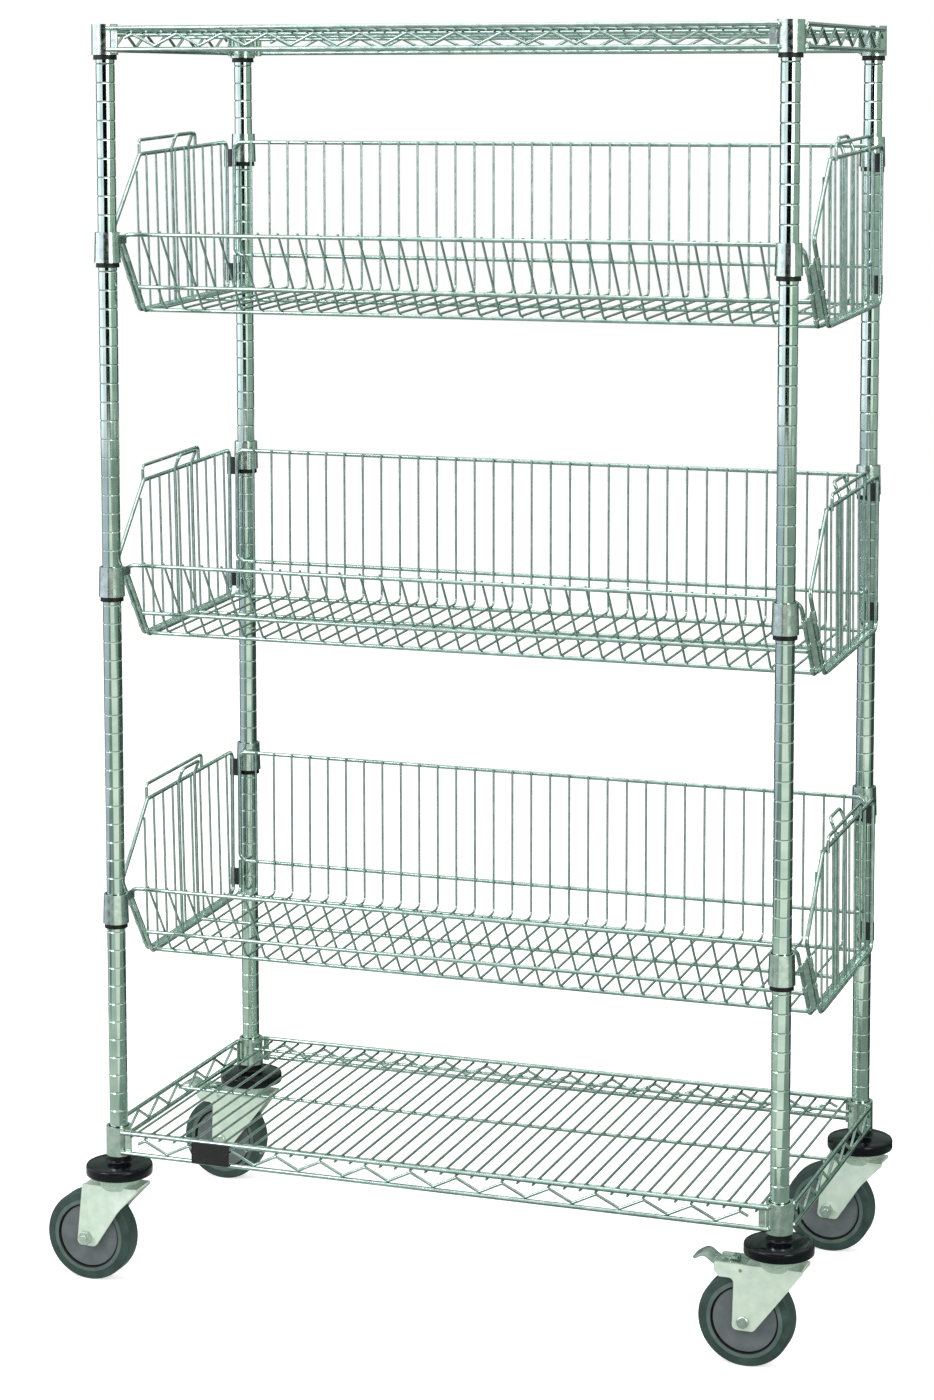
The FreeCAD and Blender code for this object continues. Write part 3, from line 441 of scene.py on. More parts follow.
def soften(shape, edges, width, steps=2):
    bmesh.ops.bevel(shape, geom=edges, offset=width, offset_type="OFFSET", segments=steps, profile=0.5,
                    affect="EDGES", material=-1, clamp_overlap=True)


def ring_of(profile, centre, steps=64):
    """A full turn of an (r, z) profile about an upright axis."""
    shape = bmesh.new()
    points = [shape.verts.new((r, 0, z)) for r, z in profile]
    edges = [shape.edges.new(pair) for pair in zip(points, points[1:])]
    bmesh.ops.spin(shape, geom=points + edges, cent=(0, 0, 0), axis=(0, 0, 1), angle=math.tau, steps=steps,
                   use_merge=True)
    bmesh.ops.remove_doubles(shape, verts=shape.verts, dist=SEAM)
    bmesh.ops.translate(shape, vec=centre, verts=shape.verts)
    return shape


print("outlines, plates and turned forms can be made")

# %% [markdown]
# Caster forks. The real one is a pressed sheet: two legs with a rolled shoulder where they leave the crown,
# and a round cup for the balls that stands out past both legs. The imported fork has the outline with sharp
# edges. Each leg is drawn again as a flat outline, extruded to the sheet's thickness, and bevelled: a wide
# roll along the top and a slight break on every other edge. On the casters without a brake the front of
# each leg is also set in a little, which shows as a soft crease down the leg. Two bisecting planes give the
# crease its edges.

# %% Legs and crown of a fork
CROWN_TOP = 140.0
AXLE_Z = 63.5
TRAIL = 42.0
SHEET = 3.5
FORK_HALF = 22.0
FOOT_Z = AXLE_Z - 12.0
FOOT_FRONT = -TRAIL - 15.0
FOOT_BACK = -TRAIL + 14.0
LEG_BACK = 37.0
LEG_EDGE = CROWN_TOP - 4.0
ARM_UNDER = CROWN_TOP - 19.0
ARM_FRONT = -82.0
CREASE_X = -38.5
JOGGLE = 3.0
FOLD_DEPTH = 1.4
ROLL = 2.6
EDGE_BREAK = 0.5
NEAR = 0.01
CROWN_SHEET = 3.4
CROWN_DROP = 0.4
CROWN_INSET = 2.0
CROWN_CORNER = 3.0
CROWN_BACK = 35.0
PLAIN_CROWN = 46.0
BRAKE_CROWN = 40.0
# a leg's outline from the side: each corner's distance from the post, its height and its radius
PLAIN_LEG = [(LEG_BACK, CROWN_TOP, 1), (LEG_BACK, LEG_EDGE, 2), (7, CROWN_TOP - 35, 60),
             (FOOT_BACK, FOOT_Z, 7), (FOOT_FRONT, FOOT_Z, 7), (-48, CROWN_TOP, 2)]
BRAKE_LEG = [(LEG_BACK, CROWN_TOP, 1), (LEG_BACK, LEG_EDGE, 2), (FOOT_BACK, FOOT_Z, 7),
             (FOOT_FRONT, FOOT_Z, 7), (-55, ARM_UNDER, 7), (-75, ARM_UNDER, 2.5),
             (ARM_FRONT, CROWN_TOP - 12, 2.5), (ARM_FRONT, CROWN_TOP, 2.5)]


def fork_leg(outline, side, folded):
    """One leg of a fork; side is -1 for the leg in front and 1 for the leg behind the wheel."""
    leg = bmesh.new()
    outline_face(leg, [(x, 0, z) for x, z, radius in outline], [radius for x, z, radius in outline], 8)
    if folded:
        for line in (CREASE_X, CREASE_X - JOGGLE):
            whole = leg.verts[:] + leg.edges[:] + leg.faces[:]
            bmesh.ops.bisect_plane(leg, geom=whole, plane_co=(line, 0, 0), plane_no=(1, 0, 0))
    thicken(leg, leg.faces[:], (0, SHEET, 0))
    top = CROWN_TOP - NEAR
    roll = [e for e in crisp_edges(leg) if all(v.co.z > top and v.co.y < NEAR for v in e.verts)]
    soften(leg, roll, ROLL, 5)
    soften(leg, crisp_edges(leg), EDGE_BREAK)
    if folded:
        for vert in leg.verts:
            vert.co.y += FOLD_DEPTH * min(1.0, max(0.0, CREASE_X - vert.co.x) / JOGGLE)
    bmesh.ops.translate(leg, vec=(0, -FORK_HALF, 0), verts=leg.verts)
    if side > 0:
        bmesh.ops.scale(leg, vec=(1, -1, 1), verts=leg.verts)
        bmesh.ops.reverse_faces(leg, faces=leg.faces)
    return leg


def fork_crown(front):
    """The flat top of the fork between the legs, round the foot of the cup."""
    crown = bmesh.new()
    half = FORK_HALF - CROWN_INSET
    top = CROWN_TOP - CROWN_DROP
    corners = [(-front, -half, top), (CROWN_BACK, -half, top), (CROWN_BACK, half, top), (-front, half, top)]
    thicken(crown, outline_face(crown, corners, [CROWN_CORNER] * 4), (0, 0, -CROWN_SHEET))
    soften(crown, crisp_edges(crown), EDGE_BREAK)
    return crown


print("a fork is", CROWN_TOP - FOOT_Z, "mm high and", 2 * FORK_HALF, "mm wide")

# %% [markdown]
# Ball cups. The cup on the fork's crown is turned, so it is spun from a section. Its wall stands out past
# both legs, swells as it rises and turns a lip in towards the balls. A plate in it, with a bore for the
# stem, is their track. Legs, crown and cup are then put under each post.

# %% Forks with their ball cups
CUP_TOP = CROWN_TOP + 9.0
CUP_INSIDE = 24.6
CUP_BORE = 6.1
TRACK_UNDER = CUP_TOP - 4.0
CUP = [(CUP_INSIDE, CROWN_TOP - 2.0), (22.3, CROWN_TOP - 5.6), (24.6, CROWN_TOP - 5.0),
       (26.6, CROWN_TOP - 2.8), (28.2, CROWN_TOP + 0.8), (29.2, CROWN_TOP + 5.0), (29.5, CUP_TOP),
       (29.2, CUP_TOP + 2.6), (28.2, CUP_TOP + 4.2), (26.6, CUP_TOP + 4.9), (25.2, CUP_TOP + 5.0),
       (24.7, CUP_TOP + 4.8), (CUP_INSIDE, CUP_TOP + 4.3), (CUP_INSIDE, CROWN_TOP - 2.0)]
CUP_FLOOR = [(CUP_BORE, TRACK_UNDER), (CUP_INSIDE, TRACK_UNDER), (CUP_INSIDE, CUP_TOP), (CUP_BORE, CUP_TOP),
             (CUP_BORE, TRACK_UNDER)]
for corner, (x, y) in CORNERS.items():
    braked = corner in BRAKED
    fork = bmesh.new()
    for side in (-1, 1):
        add_to(fork, fork_leg(BRAKE_LEG if braked else PLAIN_LEG, side, not braked), (x, y, 0))
    add_to(fork, fork_crown(BRAKE_CROWN if braked else PLAIN_CROWN), (x, y, 0))
    finish_piece(f"formed_fork_{corner}", fork, fork_zinc, f"swivel_{corner}",
                 [f"caster_fork_{corner}"])
    cup = ring_of(CUP, (x, y, 0))
    add_to(cup, ring_of(CUP_FLOOR, (x, y, 0)))
    finish_piece(f"pressed_cup_{corner}", cup, cup_zinc, f"swivel_{corner}")

# %% [markdown]
# Folded sheet. A strip of sheet is easiest to fold as a flat ribbon first: a chain of edges is swept across
# the width, its fold lines are bevelled round, holes are cut along planes, and only then does it get its
# thickness.

# %% Helpers for folded sheet
FOLD_ANGLE = math.radians(20)


def ribbon(points, width_vector):
    """A strip of quads: a chain of edges through the points, swept by a vector."""
    strip = bmesh.new()
    chain = [strip.verts.new(point) for point in points]
    edges = [strip.edges.new(pair) for pair in zip(chain, chain[1:])]
    made = bmesh.ops.extrude_edge_only(strip, edges=edges)["geom"]
    bmesh.ops.translate(strip, vec=width_vector, verts=verts_in(made))
    bmesh.ops.recalc_face_normals(strip, faces=strip.faces)
    return strip


def fold_lines(strip):
    return [e for e in strip.edges if len(e.link_faces) == 2 and e.calc_face_angle() > FOLD_ANGLE]


def cut_lines(shape, where, planes):
    """Cuts the faces that a test picks along some planes, each given as a point and a normal."""
    for point, normal in planes:
        picked = [f for f in shape.faces if where(f)]
        around = {v for f in picked for v in f.verts}
        sides = {e for f in picked for e in f.edges}
        bmesh.ops.bisect_plane(shape, geom=[*around, *sides, *picked], plane_co=point, plane_no=normal)


def give_thickness(strip, thickness):
    """Turns a ribbon into sheet, half the thickness to each side of it."""
    for vert in strip.verts:
        vert.normal_update()
    moves = [(vert, vert.normal * (thickness / 2)) for vert in strip.verts]
    for vert, move in moves:
        vert.co += move
    bmesh.ops.solidify(strip, geom=strip.faces[:], thickness=thickness)
    bmesh.ops.recalc_face_normals(strip, faces=strip.faces)


print("a fold is a line where a ribbon turns by", round(math.degrees(FOLD_ANGLE)), "degrees or more")

# %% [markdown]
# Brake pedal. It is one strip of sheet that lies flat between the cheeks, then swings up and over into a
# tongue for the foot, so it is folded from a ribbon, and a slot is cut out of its flat part. The shoe over
# the tyre and the barrel on the pin are added below it, and a small bright catch stands on top.

# %% Brake pedals
PEDAL_HALF = 16.5
PEDAL_SHEET = 3.0
PEDAL_BREAK = 0.45
PIVOT_X = -46.0
PIVOT_Z = 132.0
TIP_X = -113.0
PEDAL_FOLDS = [(PIVOT_X, 134.55), (-82.0, 134.55), (-97.5, 147.0), (TIP_X, 138.0)]
FOLD_ROUND = 6.5
TIP_ROUND = 7.0
FLAT_FRONT = -76.0
FLAT_NORMAL = 0.99
SLOT_X = (-74.5, -68.0)
SLOT_HALF = 9.5
BARREL = 4.0
BARREL_BREAK = 0.4
SHOE = [(-74.0, 133.2), (-62.0, 133.2), (-62.0, 127.5), (-68.0, 126.3), (-74.0, 124.6)]
SHOE_HALF = PEDAL_HALF - 2.0
SHOE_BREAK = 0.6
CATCH = [(-64.0, 135.9), (-64.0, 141.0), (-61.0, 144.4), (-54.5, 144.4), (-52.0, 142.0), (-52.0, 135.9)]
CATCH_HALF = 8.0
CATCH_BREAK = 0.8


def in_flat_part(face):
    return face.calc_center_median().x > FLAT_FRONT and abs(face.normal.z) > FLAT_NORMAL


def in_slot(face):
    centre = face.calc_center_median()
    return SLOT_X[0] < centre.x < SLOT_X[1] and abs(centre.y) < SLOT_HALF


def pedal_tongue():
    strip = ribbon([(x, -PEDAL_HALF, z) for x, z in PEDAL_FOLDS], (0, 2 * PEDAL_HALF, 0))
    soften(strip, fold_lines(strip), FOLD_ROUND, 6)
    tips = [v for v in strip.verts if v.co.x < TIP_X + NEAR]
    for tip in tips:
        round_corner(strip, tip, TIP_ROUND)
    across = [((x, 0, 0), (1, 0, 0)) for x in SLOT_X]
    along = [((0, y, 0), (0, 1, 0)) for y in (-SLOT_HALF, SLOT_HALF)]
    cut_lines(strip, in_flat_part, across + along)
    bmesh.ops.delete(strip, geom=[f for f in strip.faces if in_slot(f)], context="FACES")
    give_thickness(strip, PEDAL_SHEET)
    soften(strip, crisp_edges(strip, 60), PEDAL_BREAK)
    return strip


def side_block(points, half, break_width):
    """A block with the given side outline, across the wheel from -half to half."""
    block = bmesh.new()
    faces = outline_face(block, [(x, -half, z) for x, z in points], [0] * len(points))
    thicken(block, faces, (0, 2 * half, 0))
    soften(block, crisp_edges(block, 25), break_width, 3)
    return block


def pedal_barrel():
    barrel = bmesh.new()
    place = Matrix.Translation((PIVOT_X, 0, PIVOT_Z)) @ Matrix.Rotation(math.pi / 2, 4, "X")
    bmesh.ops.create_cone(barrel, cap_ends=True, segments=32, radius1=BARREL, radius2=BARREL,
                          depth=2 * PEDAL_HALF, matrix=place)
    soften(barrel, crisp_edges(barrel, 60), BARREL_BREAK)
    return barrel


for corner in BRAKED:
    x, y = CORNERS[corner]
    pedal = bmesh.new()
    for part in (pedal_tongue(), pedal_barrel(), side_block(SHOE, SHOE_HALF, SHOE_BREAK)):
        add_to(pedal, part, (x, y, 0))
    finish_piece(f"folded_pedal_{corner}", pedal, pedal_zinc, f"brake_{corner}",
                 [f"brake_pedal_{corner}"])
    catch = bmesh.new()
    add_to(catch, side_block(CATCH, CATCH_HALF, CATCH_BREAK), (x, y, 0))
    finish_piece(f"bright_catch_{corner}", catch, wire_chrome, f"brake_{corner}")

# %% [markdown]
# Bumpers. A black plastic cup under each post covers the ball race: a low dome on top, a neck round the
# post and a skirt that hangs over the race. It is a turned form, so half a section is spun once round the
# post's axis.

# %% Bumpers
POST_FOOT = 158.0
BUMPER_BORE = 13.0
SKIRT = [(BUMPER_BORE, 0.3), (42.6, 0.3), (42.9, -2.7), (43.6, -3.4), (45.2, -3.4), (46.0, -2.9),
         (46.4, -1.8)]
DOME = [(46.4, 7.4), (46.1, 9.0), (45.2, 10.4), (43.4, 11.3), (36.0, 12.6), (26.0, 13.7), (20.6, 14.2)]
NECK = [(18.3, 14.8), (17.2, 15.8), (17.0, 16.6), (17.0, 17.3), (16.5, 17.8), (BUMPER_BORE, 17.8)]
bumpers = bmesh.new()
for x, y in CORNERS.values():
    add_to(bumpers, ring_of([*SKIRT, *DOME, *NECK, SKIRT[0]], (x, y, POST_FOOT), 96))
finish_piece("skirted_bumpers", bumpers, bumper_black, "frame", ["caster_bumpers"], 45)

# %% [markdown]
# Joint channels. Each basket end is hooked to the mat by sheet channels that wrap two wires. Again a ribbon
# comes first. Its section has a lobe round each wire and a web between them, and where a channel is cut
# away the web goes on between two bare wires. The baskets lean, so each ribbon is drawn level, with the
# depth as -Y from the back rim, and then turned about its basket's back rim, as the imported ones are.

# %% Section of a joint channel
END_WIRE_X = 481.0
SIDE_WIRE_X = 493.0
WIRE = 2.8
CHANNEL_SHEET = 0.8
WIRE_GAP = 0.1
HUG = WIRE + WIRE_GAP + CHANNEL_SHEET / 2
LOBE_STEPS = 10
LOBE_DIP = 20
WEB_HALF = 1.2
WEB_DIP = 1.4


def lobe(centre, first, last):
    """Points of a channel's section round one wire, between two angles in degrees."""
    turns = [math.radians(first + (last - first) * i / LOBE_STEPS) for i in range(LOBE_STEPS + 1)]
    return [(centre + HUG * math.cos(turn), HUG * math.sin(turn)) for turn in turns]


def channel(sign, wrap, start, run, outward, drop=0.0, bare=()):
    """A channel round both wires, from a start point on their plane along run.

    wrap is how many degrees it goes on past a wire's side. outward points to its web. drop is how far the
    side's wire lies behind the mat's end wire. bare are the shares of the run, in pairs, between which only
    the web is left.
    """
    gap = SIDE_WIRE_X - END_WIRE_X
    span = math.hypot(gap, drop)
    section = [*lobe(0.0, 180 + wrap, -LOBE_DIP), (span / 2 - WEB_HALF, -WEB_DIP),
               (span / 2 + WEB_HALF, -WEB_DIP), *lobe(span, 180 + LOBE_DIP, -wrap)]
    points = []
    for across, out in section:
        x = END_WIRE_X + (across * gap + out * drop) / span
        height = (out * gap - across * drop) / span
        points.append(Vector(start) + Vector((sign * x, 0, 0)) + Vector(outward) * height)
    web = points[LOBE_STEPS:LOBE_STEPS + 4]
    stops = [0.0, *bare, 1.0]
    strip = bmesh.new()
    for index, (low, high) in enumerate(zip(stops, stops[1:])):
        chain = web if index % 2 else points
        add_to(strip, ribbon(chain, Vector(run) * (high - low)), Vector(run) * low)
    bmesh.ops.remove_doubles(strip, verts=strip.verts, dist=SEAM)
    bmesh.ops.recalc_face_normals(strip, faces=strip.faces)
    return strip


print("a channel's sheet runs", round(HUG, 2), "mm from the middle of each wire")

# %% [markdown]
# Each basket end has a long channel under the floor edge, one on the front slope and two short clips at the
# back corners. On the slope the lobes are cut away in two places. At its upper end the lobe round the mat's
# wire stops short of the curl, as the real sheet is notched there.

# %% Joint channels and clips
BASKET_LEAN = math.radians(2.4)
TILT = math.tan(BASKET_LEAN)
BACK_HEIGHT = 216.0
FLOOR_DEPTH = 318.0
FRONT_RUN = 70.0
FRONT_RISE = 112.0
SLOPE = math.hypot(FRONT_RUN, FRONT_RISE)
SLOPE_OUT = Vector((0, -FRONT_RISE, -FRONT_RUN)) / SLOPE
BACK_RIM_Y = 207.14
BACK_RIM_RISE = 35.4
BOTTOM_RING = POST_FOOT + 18.0
PITCH = 25.4
BASKET_RINGS = {"upper": BOTTOM_RING + 54 * PITCH, "middle": BOTTOM_RING + 36 * PITCH,
                "lower": BOTTOM_RING + 18 * PITCH}
STRIP_WRAP = 10
FLOOR_START = (0, -27.0, 0)
FLOOR_CHANNEL = (0, -269.0, 0)
SLOPE_START = 7.0
SLOPE_END = 108.0
SIDE_SETBACK = 10.0
SIDE_DROP = SIDE_SETBACK * FRONT_RISE / SLOPE
BARE_RUNS = (0.06, 0.40, 0.48, 0.80)
NOTCH = 10.0
NOTCH_INSIDE = 488.0
NOTCH_ZONE = 1.0
CLIP_WRAP = 20
CLIP_BASES = (12.0, 180.0)
CLIP_RUN = (0, 26.0 * TILT, 26.0)


def lean(name):
    """Takes level basket points (x, -depth, height) to their place in the unit."""
    rim = Vector((0, BACK_RIM_Y, BASKET_RINGS[name] + BACK_RIM_RISE))
    return (Matrix.Translation(rim) @ Matrix.Rotation(BASKET_LEAN, 4, "X") @
            Matrix.Translation((0, 0, -BACK_HEIGHT)))


def up_slope(along):
    return Vector((0, -FLOOR_DEPTH - along * FRONT_RUN / SLOPE, along * FRONT_RISE / SLOPE))


def slope_channel(sign):
    """The channel on the front slope, with the notch at its upper end."""
    run = up_slope(SLOPE_END) - up_slope(SLOPE_START)
    front = channel(sign, STRIP_WRAP, up_slope(SLOPE_START), run, SLOPE_OUT, SIDE_DROP, BARE_RUNS)
    notch = up_slope(NOTCH) - up_slope(0)
    for vert in front.verts:
        at_end = (vert.co - up_slope(SLOPE_END - NOTCH_ZONE)).dot(notch) > 0
        if at_end and abs(vert.co.x) < NOTCH_INSIDE:
            vert.co -= notch
    return front


def back_clip(sign, base):
    return channel(sign, CLIP_WRAP, (0, -(BACK_HEIGHT - base) * TILT, base), CLIP_RUN, (0, 1, 0))


channels = bmesh.new()
clips = bmesh.new()
for name in BASKET_RINGS:
    for sign in (-1, 1):
        parts = [(channels, channel(sign, STRIP_WRAP, FLOOR_START, FLOOR_CHANNEL, (0, 0, -1))),
                 (channels, slope_channel(sign))]
        parts += [(clips, back_clip(sign, base)) for base in CLIP_BASES]
        for whole, part in parts:
            give_thickness(part, CHANNEL_SHEET)
            bmesh.ops.transform(part, matrix=lean(name), verts=part.verts)
            add_to(whole, part)
finish_piece("wrapped_joint_channels", channels, strip_zinc, "frame", ["basket_joint_strips"])
back_clips = finish_piece("wrapped_back_clips", clips, strip_zinc, "frame",
                          ["basket_joint_clips"])

# %% [markdown]
# The inside of a clip is in deep shade behind its wires and looks black, so its inner faces are painted
# black as shade, with the black plate's material. On a mesh each face has the number of its material, and
# the faces that look to the front of the unit are the inner ones.

# %% Painted shade inside the clips
INNER_NORMAL = -0.2
# painted shade: the inner faces take the black plate's material as the shade behind the wires
back_clips.data.materials.append(plate_black)
for face in back_clips.data.polygons:
    if face.normal.y < INNER_NORMAL:
        face.material_index = 1
print("dark clip faces", sum(face.material_index for face in back_clips.data.polygons))

# %% [markdown]
# Shelf corners. Beside each shelf collar a narrow strip of sheet joins the upper rim to the lower one on
# both sides of the post, and a weld bead sits where each rim meets its collar. A bead is a small ball with
# a few faces, stretched along the wire and pushed about a little, because no two welds are the same. All is
# drawn for the front rim at a post's inner side, turned to the side rim by swapping X and Y, and mirrored
# to its corner.

# %% Corner strips and weld beads
SHELF_RINGS = (BOTTOM_RING, BOTTOM_RING + 60 * PITCH)
RIM_OUT = 16.5
RIM_HEIGHTS = (13.5, 42.0)
COLLAR = 18.0
STRIP_START = COLLAR - 2.5
STRIP_END = STRIP_START + 9.0
STRIP_FRONT = -RIM_OUT + 3.1
STRIP_LOW = RIM_HEIGHTS[0] - 4.5
STRIP_HIGH = RIM_HEIGHTS[1] + 3.5
STRIP_SHEET = 1.6
STRIP_CORNER = 1.5
STRIP_BREAK = 0.3
BEAD_SIZE = 3.7
BEAD_ALONG = 13.6
BEAD_ACROSS = -RIM_OUT + 0.8
BEAD_STRETCH = (1.15, 0.9, 1.0)
BEAD_LUMPS = 0.09
LUMPS_X = 2.1
LUMPS_Y = 1.7


def along_rim(vector, front_rim):
    """A vector drawn for the front rim, for that rim or for the side rim."""
    x, y, z = vector
    return Vector((x, y, z)) if front_rim else Vector((y, x, z))


def corner_strip(front_rim):
    """The strip beside a collar, between the rims and just inside them."""
    strip = bmesh.new()
    outline = [(STRIP_START, STRIP_LOW), (STRIP_END, STRIP_LOW), (STRIP_END, STRIP_HIGH),
               (STRIP_START, STRIP_HIGH)]
    points = [along_rim((x, STRIP_FRONT, z), front_rim) for x, z in outline]
    faces = outline_face(strip, points, [0, STRIP_CORNER, STRIP_CORNER, 0], 3)
    thicken(strip, faces, along_rim((0, STRIP_SHEET, 0), front_rim))
    soften(strip, crisp_edges(strip), STRIP_BREAK, 1)
    return strip


def weld_bead(place, stretch, seed):
    """A lumpy bead; the seed shifts its lumps, so that each looks different."""
    bead = bmesh.new()
    bmesh.ops.create_icosphere(bead, subdivisions=2, radius=BEAD_SIZE)
    for vert in bead.verts:
        lump = math.sin(vert.co.x * LUMPS_X + seed) * math.cos(vert.co.y * LUMPS_Y + seed * 2)
        vert.co += vert.co.normalized() * (BEAD_LUMPS * BEAD_SIZE * lump)
    bmesh.ops.scale(bead, vec=stretch, verts=bead.verts)
    bmesh.ops.translate(bead, vec=place, verts=bead.verts)
    return bead


strips = bmesh.new()
beads = bmesh.new()
for ring in SHELF_RINGS:
    for index, (x, y) in enumerate(CORNERS.values()):
        inward = Vector((-math.copysign(1, x), -math.copysign(1, y), 1))
        for front_rim in (True, False):
            strip = corner_strip(front_rim)
            bmesh.ops.scale(strip, vec=inward, verts=strip.verts)
            add_to(strips, strip, (x, y, ring))
            stretch = along_rim(BEAD_STRETCH, front_rim)
            for height in RIM_HEIGHTS:
                place = along_rim((BEAD_ALONG, BEAD_ACROSS, height), front_rim) * inward
                add_to(beads, weld_bead(place, stretch, index + height), (x, y, ring))
finish_piece("collar_corner_strips", strips, collar_chrome, "frame")
finish_piece("rim_weld_beads", beads, bolt_zinc, "frame", sharp=80)

# %% [markdown]
# Small plate. A bare black plate hangs on the front of the bottom shelf, with rounded corners, a raised
# border and two rivets. Two insets make the border: the first one marks its width, and the second one sinks
# the field.

# %% Bare plate
PLATE_CENTRE = (-326.0, -249.6, BOTTOM_RING + 27.75)
PLATE_X = 28.0
PLATE_Z = 15.0
PLATE_Y = 1.0
PLATE_CORNER = 2.0
PLATE_BREAK = 0.25
BORDER_WIDTH = 1.8
BORDER_SLOPE = 0.3
FIELD_DEPTH = 0.5
RIVET = 1.7
RIVET_FLATNESS = (1, 0.45, 1)
RIVET_X = PLATE_X - 4.5
plate = bmesh.new()
corners = [(-PLATE_X, PLATE_Y, -PLATE_Z), (PLATE_X, PLATE_Y, -PLATE_Z), (PLATE_X, PLATE_Y, PLATE_Z),
           (-PLATE_X, PLATE_Y, PLATE_Z)]
thicken(plate, outline_face(plate, corners, [PLATE_CORNER] * 4, 4), (0, -2 * PLATE_Y, 0))
face = min(plate.faces, key=lambda f: f.calc_center_median().y)
bmesh.ops.inset_region(plate, faces=[face], thickness=BORDER_WIDTH, depth=0.0)
bmesh.ops.inset_region(plate, faces=[face], thickness=BORDER_SLOPE, depth=-FIELD_DEPTH)
soften(plate, crisp_edges(plate, 60), PLATE_BREAK)
for x in (-RIVET_X, RIVET_X):
    rivet = bmesh.new()
    bmesh.ops.create_uvsphere(rivet, u_segments=16, v_segments=8, radius=RIVET)
    bmesh.ops.scale(rivet, vec=RIVET_FLATNESS, verts=rivet.verts)
    add_to(plate, rivet, (x, FIELD_DEPTH - PLATE_Y, 0))
bmesh.ops.translate(plate, vec=PLATE_CENTRE, verts=plate.verts)
finish_piece("bordered_blank_plate", plate, plate_black, "frame", ["blank_name_plate"])

# %% [markdown]
# Tyres and hubs. Both are turned forms and keep their imported shape, but one finish for a whole tyre is too
# plain: the lip beside the hub is paler than the tread, and the groove where the hub meets the tyre is
# painted black as shade. A face of a imported mesh may take another material by its number, picked here by
# its distance from the axle.

# %% Tyre lips, and painted shade in the hub grooves
LIP_RADIUS = 0.0515
BEAD_RADIUS = 0.0462
GROOVE_RADIUS = 0.0431


def mark_faces(node, axle, finishes):
    """Gives each face the finish in whose span of radius, from low to high, it lies."""
    for finish, low, high in finishes:
        node.data.materials.append(finish)
        number = len(node.data.materials) - 1
        for face in node.data.polygons:
            if low < math.hypot(face.center.x - axle.x, face.center.z - axle.z) < high:
                face.material_index = number


for corner, (x, y) in CORNERS.items():
    axle = Vector((x - TRAIL, y, AXLE_Z)) * MM
    # painted shade: the tyre's faces inside the bead and the hub's faces beyond the groove radius take the
    # black sleeve material, for the shade in the groove between them
    mark_faces(nodes[f"caster_tyre_{corner}"], axle,
               [(lip_rubber, BEAD_RADIUS, LIP_RADIUS), (sleeve_black, 0.0, BEAD_RADIUS)])
    mark_faces(nodes[f"caster_hub_{corner}"], axle, [(sleeve_black, GROOVE_RADIUS, math.inf)])
print("tyre lips and hub grooves are marked")

# %% [markdown]
# Bright metal shows the room more than itself, so the room is what gives it form. The world is white to the
# camera and in reflections and dimmer for the soft light that it gives. The floor is matt white and keeps
# the shadow; a glow of its own, seen by the camera and in reflections, makes the rest as white as the
# world.

# %% World and floor
AMBIENT = 0.62
FLOOR_GLOW = 0.60
FLOOR_SIZE = 9.0
WHITE = linear("#ffffff")


def seen_directly(tree):
    """1 for rays from the camera, from a mirror and through glass, and 0 for the rest."""
    path = add_node(tree, "LightPath")
    first = add_node(tree, "Math", None,
                     {0: path.outputs["Is Camera Ray"], 1: path.outputs["Is Glossy Ray"]},
                     operation="MAXIMUM")
    both = add_node(tree, "Math", None,
                    {0: first.outputs[0], 1: path.outputs["Is Transmission Ray"]}, operation="MAXIMUM")
    return both.outputs[0]


def stage_piece(name, shape, material):
    mesh = bpy.data.meshes.new(name)
    shape.to_mesh(mesh)
    shape.free()
    mesh.materials.append(material)
    made = bpy.data.objects.new(name, mesh)
    bpy.context.scene.collection.objects.link(made)
    return made


def white_world():
    world = bpy.data.worlds.new("white_studio")
    world.use_nodes = True
    tree = world.node_tree
    background = tree.nodes["Background"]
    background.inputs["Color"].default_value = WHITE
    strength = add_node(tree, "MapRange", {"To Min": AMBIENT, "To Max": 1.0},
                        {"Value": seen_directly(tree)})
    tree.links.new(strength.outputs["Result"], background.inputs["Strength"])
    bpy.context.scene.world = world


def pale_floor():
    material, tree = empty_material("pale_floor")
    matt = add_node(tree, "BsdfDiffuse", {"Color": linear("#f4f5f4")})
    strength = add_node(tree, "Math", {1: FLOOR_GLOW}, {0: seen_directly(tree)}, operation="MULTIPLY")
    glow = add_node(tree, "Emission", {"Color": WHITE}, {"Strength": strength.outputs[0]})
    both = add_node(tree, "AddShader", None, {0: matt.outputs[0], 1: glow.outputs[0]})
    add_node(tree, "OutputMaterial", None, {"Surface": both.outputs[0]})
    shape = bmesh.new()
    bmesh.ops.create_grid(shape, x_segments=1, y_segments=1, size=FLOOR_SIZE)
    stage_piece("studio_floor", shape, material)


white_world()
pale_floor()
print("the world and the floor are white")

# %% [markdown]
# Cards. A photographer stands white and black cards round bright metal, and each wire and post draws them
# as long stripes. Here the cards give light of their own and are seen in reflections only. A post's left
# third shows the left card, a black stripe shows the dark room behind the camera, and its right third shows
# the grey side of the room. An upright card is a line spun part of the way round the unit; the angles are
# in degrees from +X.

# %% Upright cards
CARD_DISTANCE = 12.0
CARD_STEP = 4


def card_light(name, colour, strength):
    material, tree = empty_material(name)
    light = add_node(tree, "Emission", {"Color": linear(colour), "Strength": strength})
    add_node(tree, "OutputMaterial", None, {"Surface": light.outputs["Emission"]})
    return material


def only_in_reflections(card):
    card.visible_camera = False
    card.visible_diffuse = False
    card.visible_shadow = False
    card.visible_transmission = False
    card.visible_volume_scatter = False


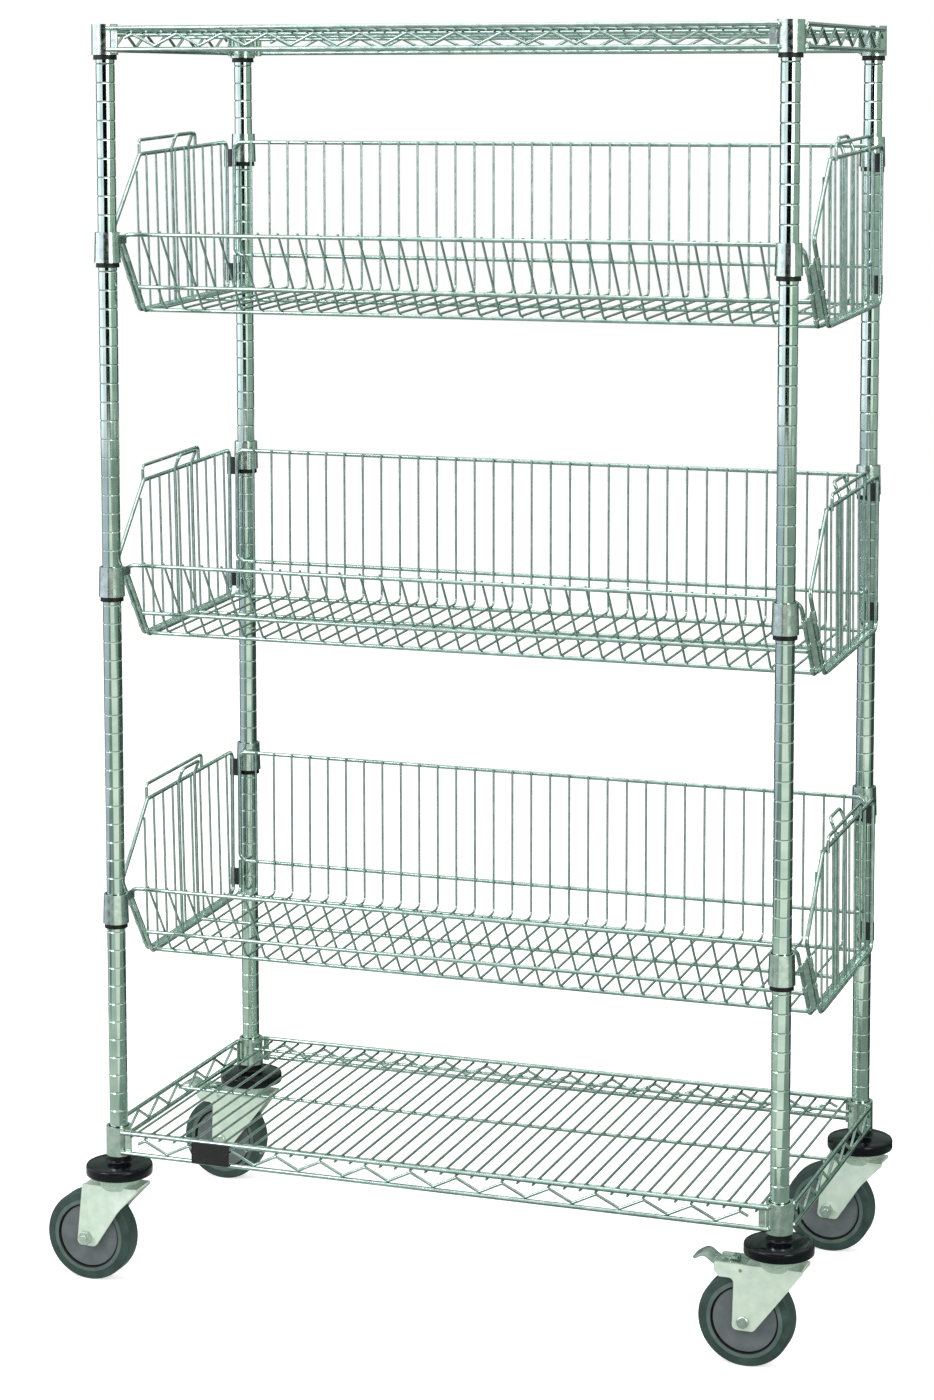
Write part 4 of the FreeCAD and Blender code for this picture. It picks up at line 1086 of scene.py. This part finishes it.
def upright_card(name, first, last, low, high, colour, strength=1.0):
    shape = bmesh.new()
    start = Matrix.Rotation(math.radians(first), 3, "Z") @ Vector((CARD_DISTANCE, 0, 0))
    ends = [shape.verts.new(start + Vector((0, 0, z))) for z in (low, high)]
    edge = shape.edges.new(ends)
    turn = last - first
    bmesh.ops.spin(shape, geom=[*ends, edge], cent=(0, 0, 0), axis=(0, 0, 1), angle=math.radians(turn),
                   steps=round(turn / CARD_STEP))
    only_in_reflections(stage_piece(name, shape, card_light(name, colour, strength)))


upright_card("flag_front", -103, -57, 0.0, 5.0, "#04050a")
upright_card("glow_front_right", -57, -30, 0.0, 9.0, "#f0f8ee", 1.35)
upright_card("flag_right", -30, 55, 0.0, 9.0, "#a9beb1")
upright_card("flag_back", 55, 165, 0.0, 1.9, "#2f3d38")
upright_card("flag_back_high", 55, 165, 1.9, 9.0, "#9fb3a9")
upright_card("glow_left", 165, 216, 0.0, 9.0, "#f2f4ff", 1.75)
upright_card("glow_front_left", 216, 257, 0.0, 9.0, "#eceefc", 1.35)
print("upright cards are set")

# %% [markdown]
# The camera looks down on the lower half of the unit, so the lower posts and wires draw the floor instead.
# Cards lying just above it set those stripes: a bright one in front, a bluish one far to the left, a pale
# one near with a dark one over its corner, and a dark one behind, which the wires that run to the back
# show.

# %% Floor cards
def floor_card(name, left, right, front, back, height, colour, strength=1.0):
    shape = bmesh.new()
    bmesh.ops.create_grid(shape, x_segments=1, y_segments=1, size=0.5)
    bmesh.ops.scale(shape, vec=(right - left, back - front, 1), verts=shape.verts)
    bmesh.ops.translate(shape, vec=((left + right) / 2, (front + back) / 2, height), verts=shape.verts)
    only_in_reflections(stage_piece(name, shape, card_light(name, colour, strength)))


floor_card("flag_floor", -11.0, 11.0, -11.0, 11.0, 0.003, "#93a29a")
floor_card("flag_floor_back", -6.0, 6.0, 0.6, 8.0, 0.005, "#3f4d46")
floor_card("glow_floor_far_left", -11.0, -2.6, -11.0, 1.6, 0.005, "#dbe0f4", 0.92)
floor_card("glow_floor_left", -2.6, -0.1, -2.4, 0.5, 0.005, "#ccd7cf")
floor_card("flag_floor_left", -2.6, -1.6, -2.4, -0.7, 0.007, "#77838c")
floor_card("glow_floor_front", -0.1, 4.2, -11.0, -0.95, 0.005, "#f6fbf4", 1.05)
print("floor cards are set")

# %% [markdown]
# Three soft area lights: a key from the front left, a weaker fill from the right, and one overhead for a
# soft shadow.

# %% Lights
def area_light(name, place, aim, size, power):
    lamp = bpy.data.lights.new(name, "AREA")
    lamp.shape = "SQUARE"
    lamp.size = size
    lamp.energy = power
    made = bpy.data.objects.new(name, lamp)
    made.location = place
    made.rotation_euler = (Vector(aim) - Vector(place)).to_track_quat("-Z", "Y").to_euler()
    bpy.context.scene.collection.objects.link(made)


area_light("key_left", (-2.7, -3.3, 3.0), (0, 0, 0.9), 1.8, 85)
area_light("fill_right", (3.2, -2.6, 2.2), (0, 0, 0.8), 1.6, 45)
area_light("top_soft", (0.0, -0.4, 4.2), (0, 0, 0), 2.6, 50)
print("lights are set")
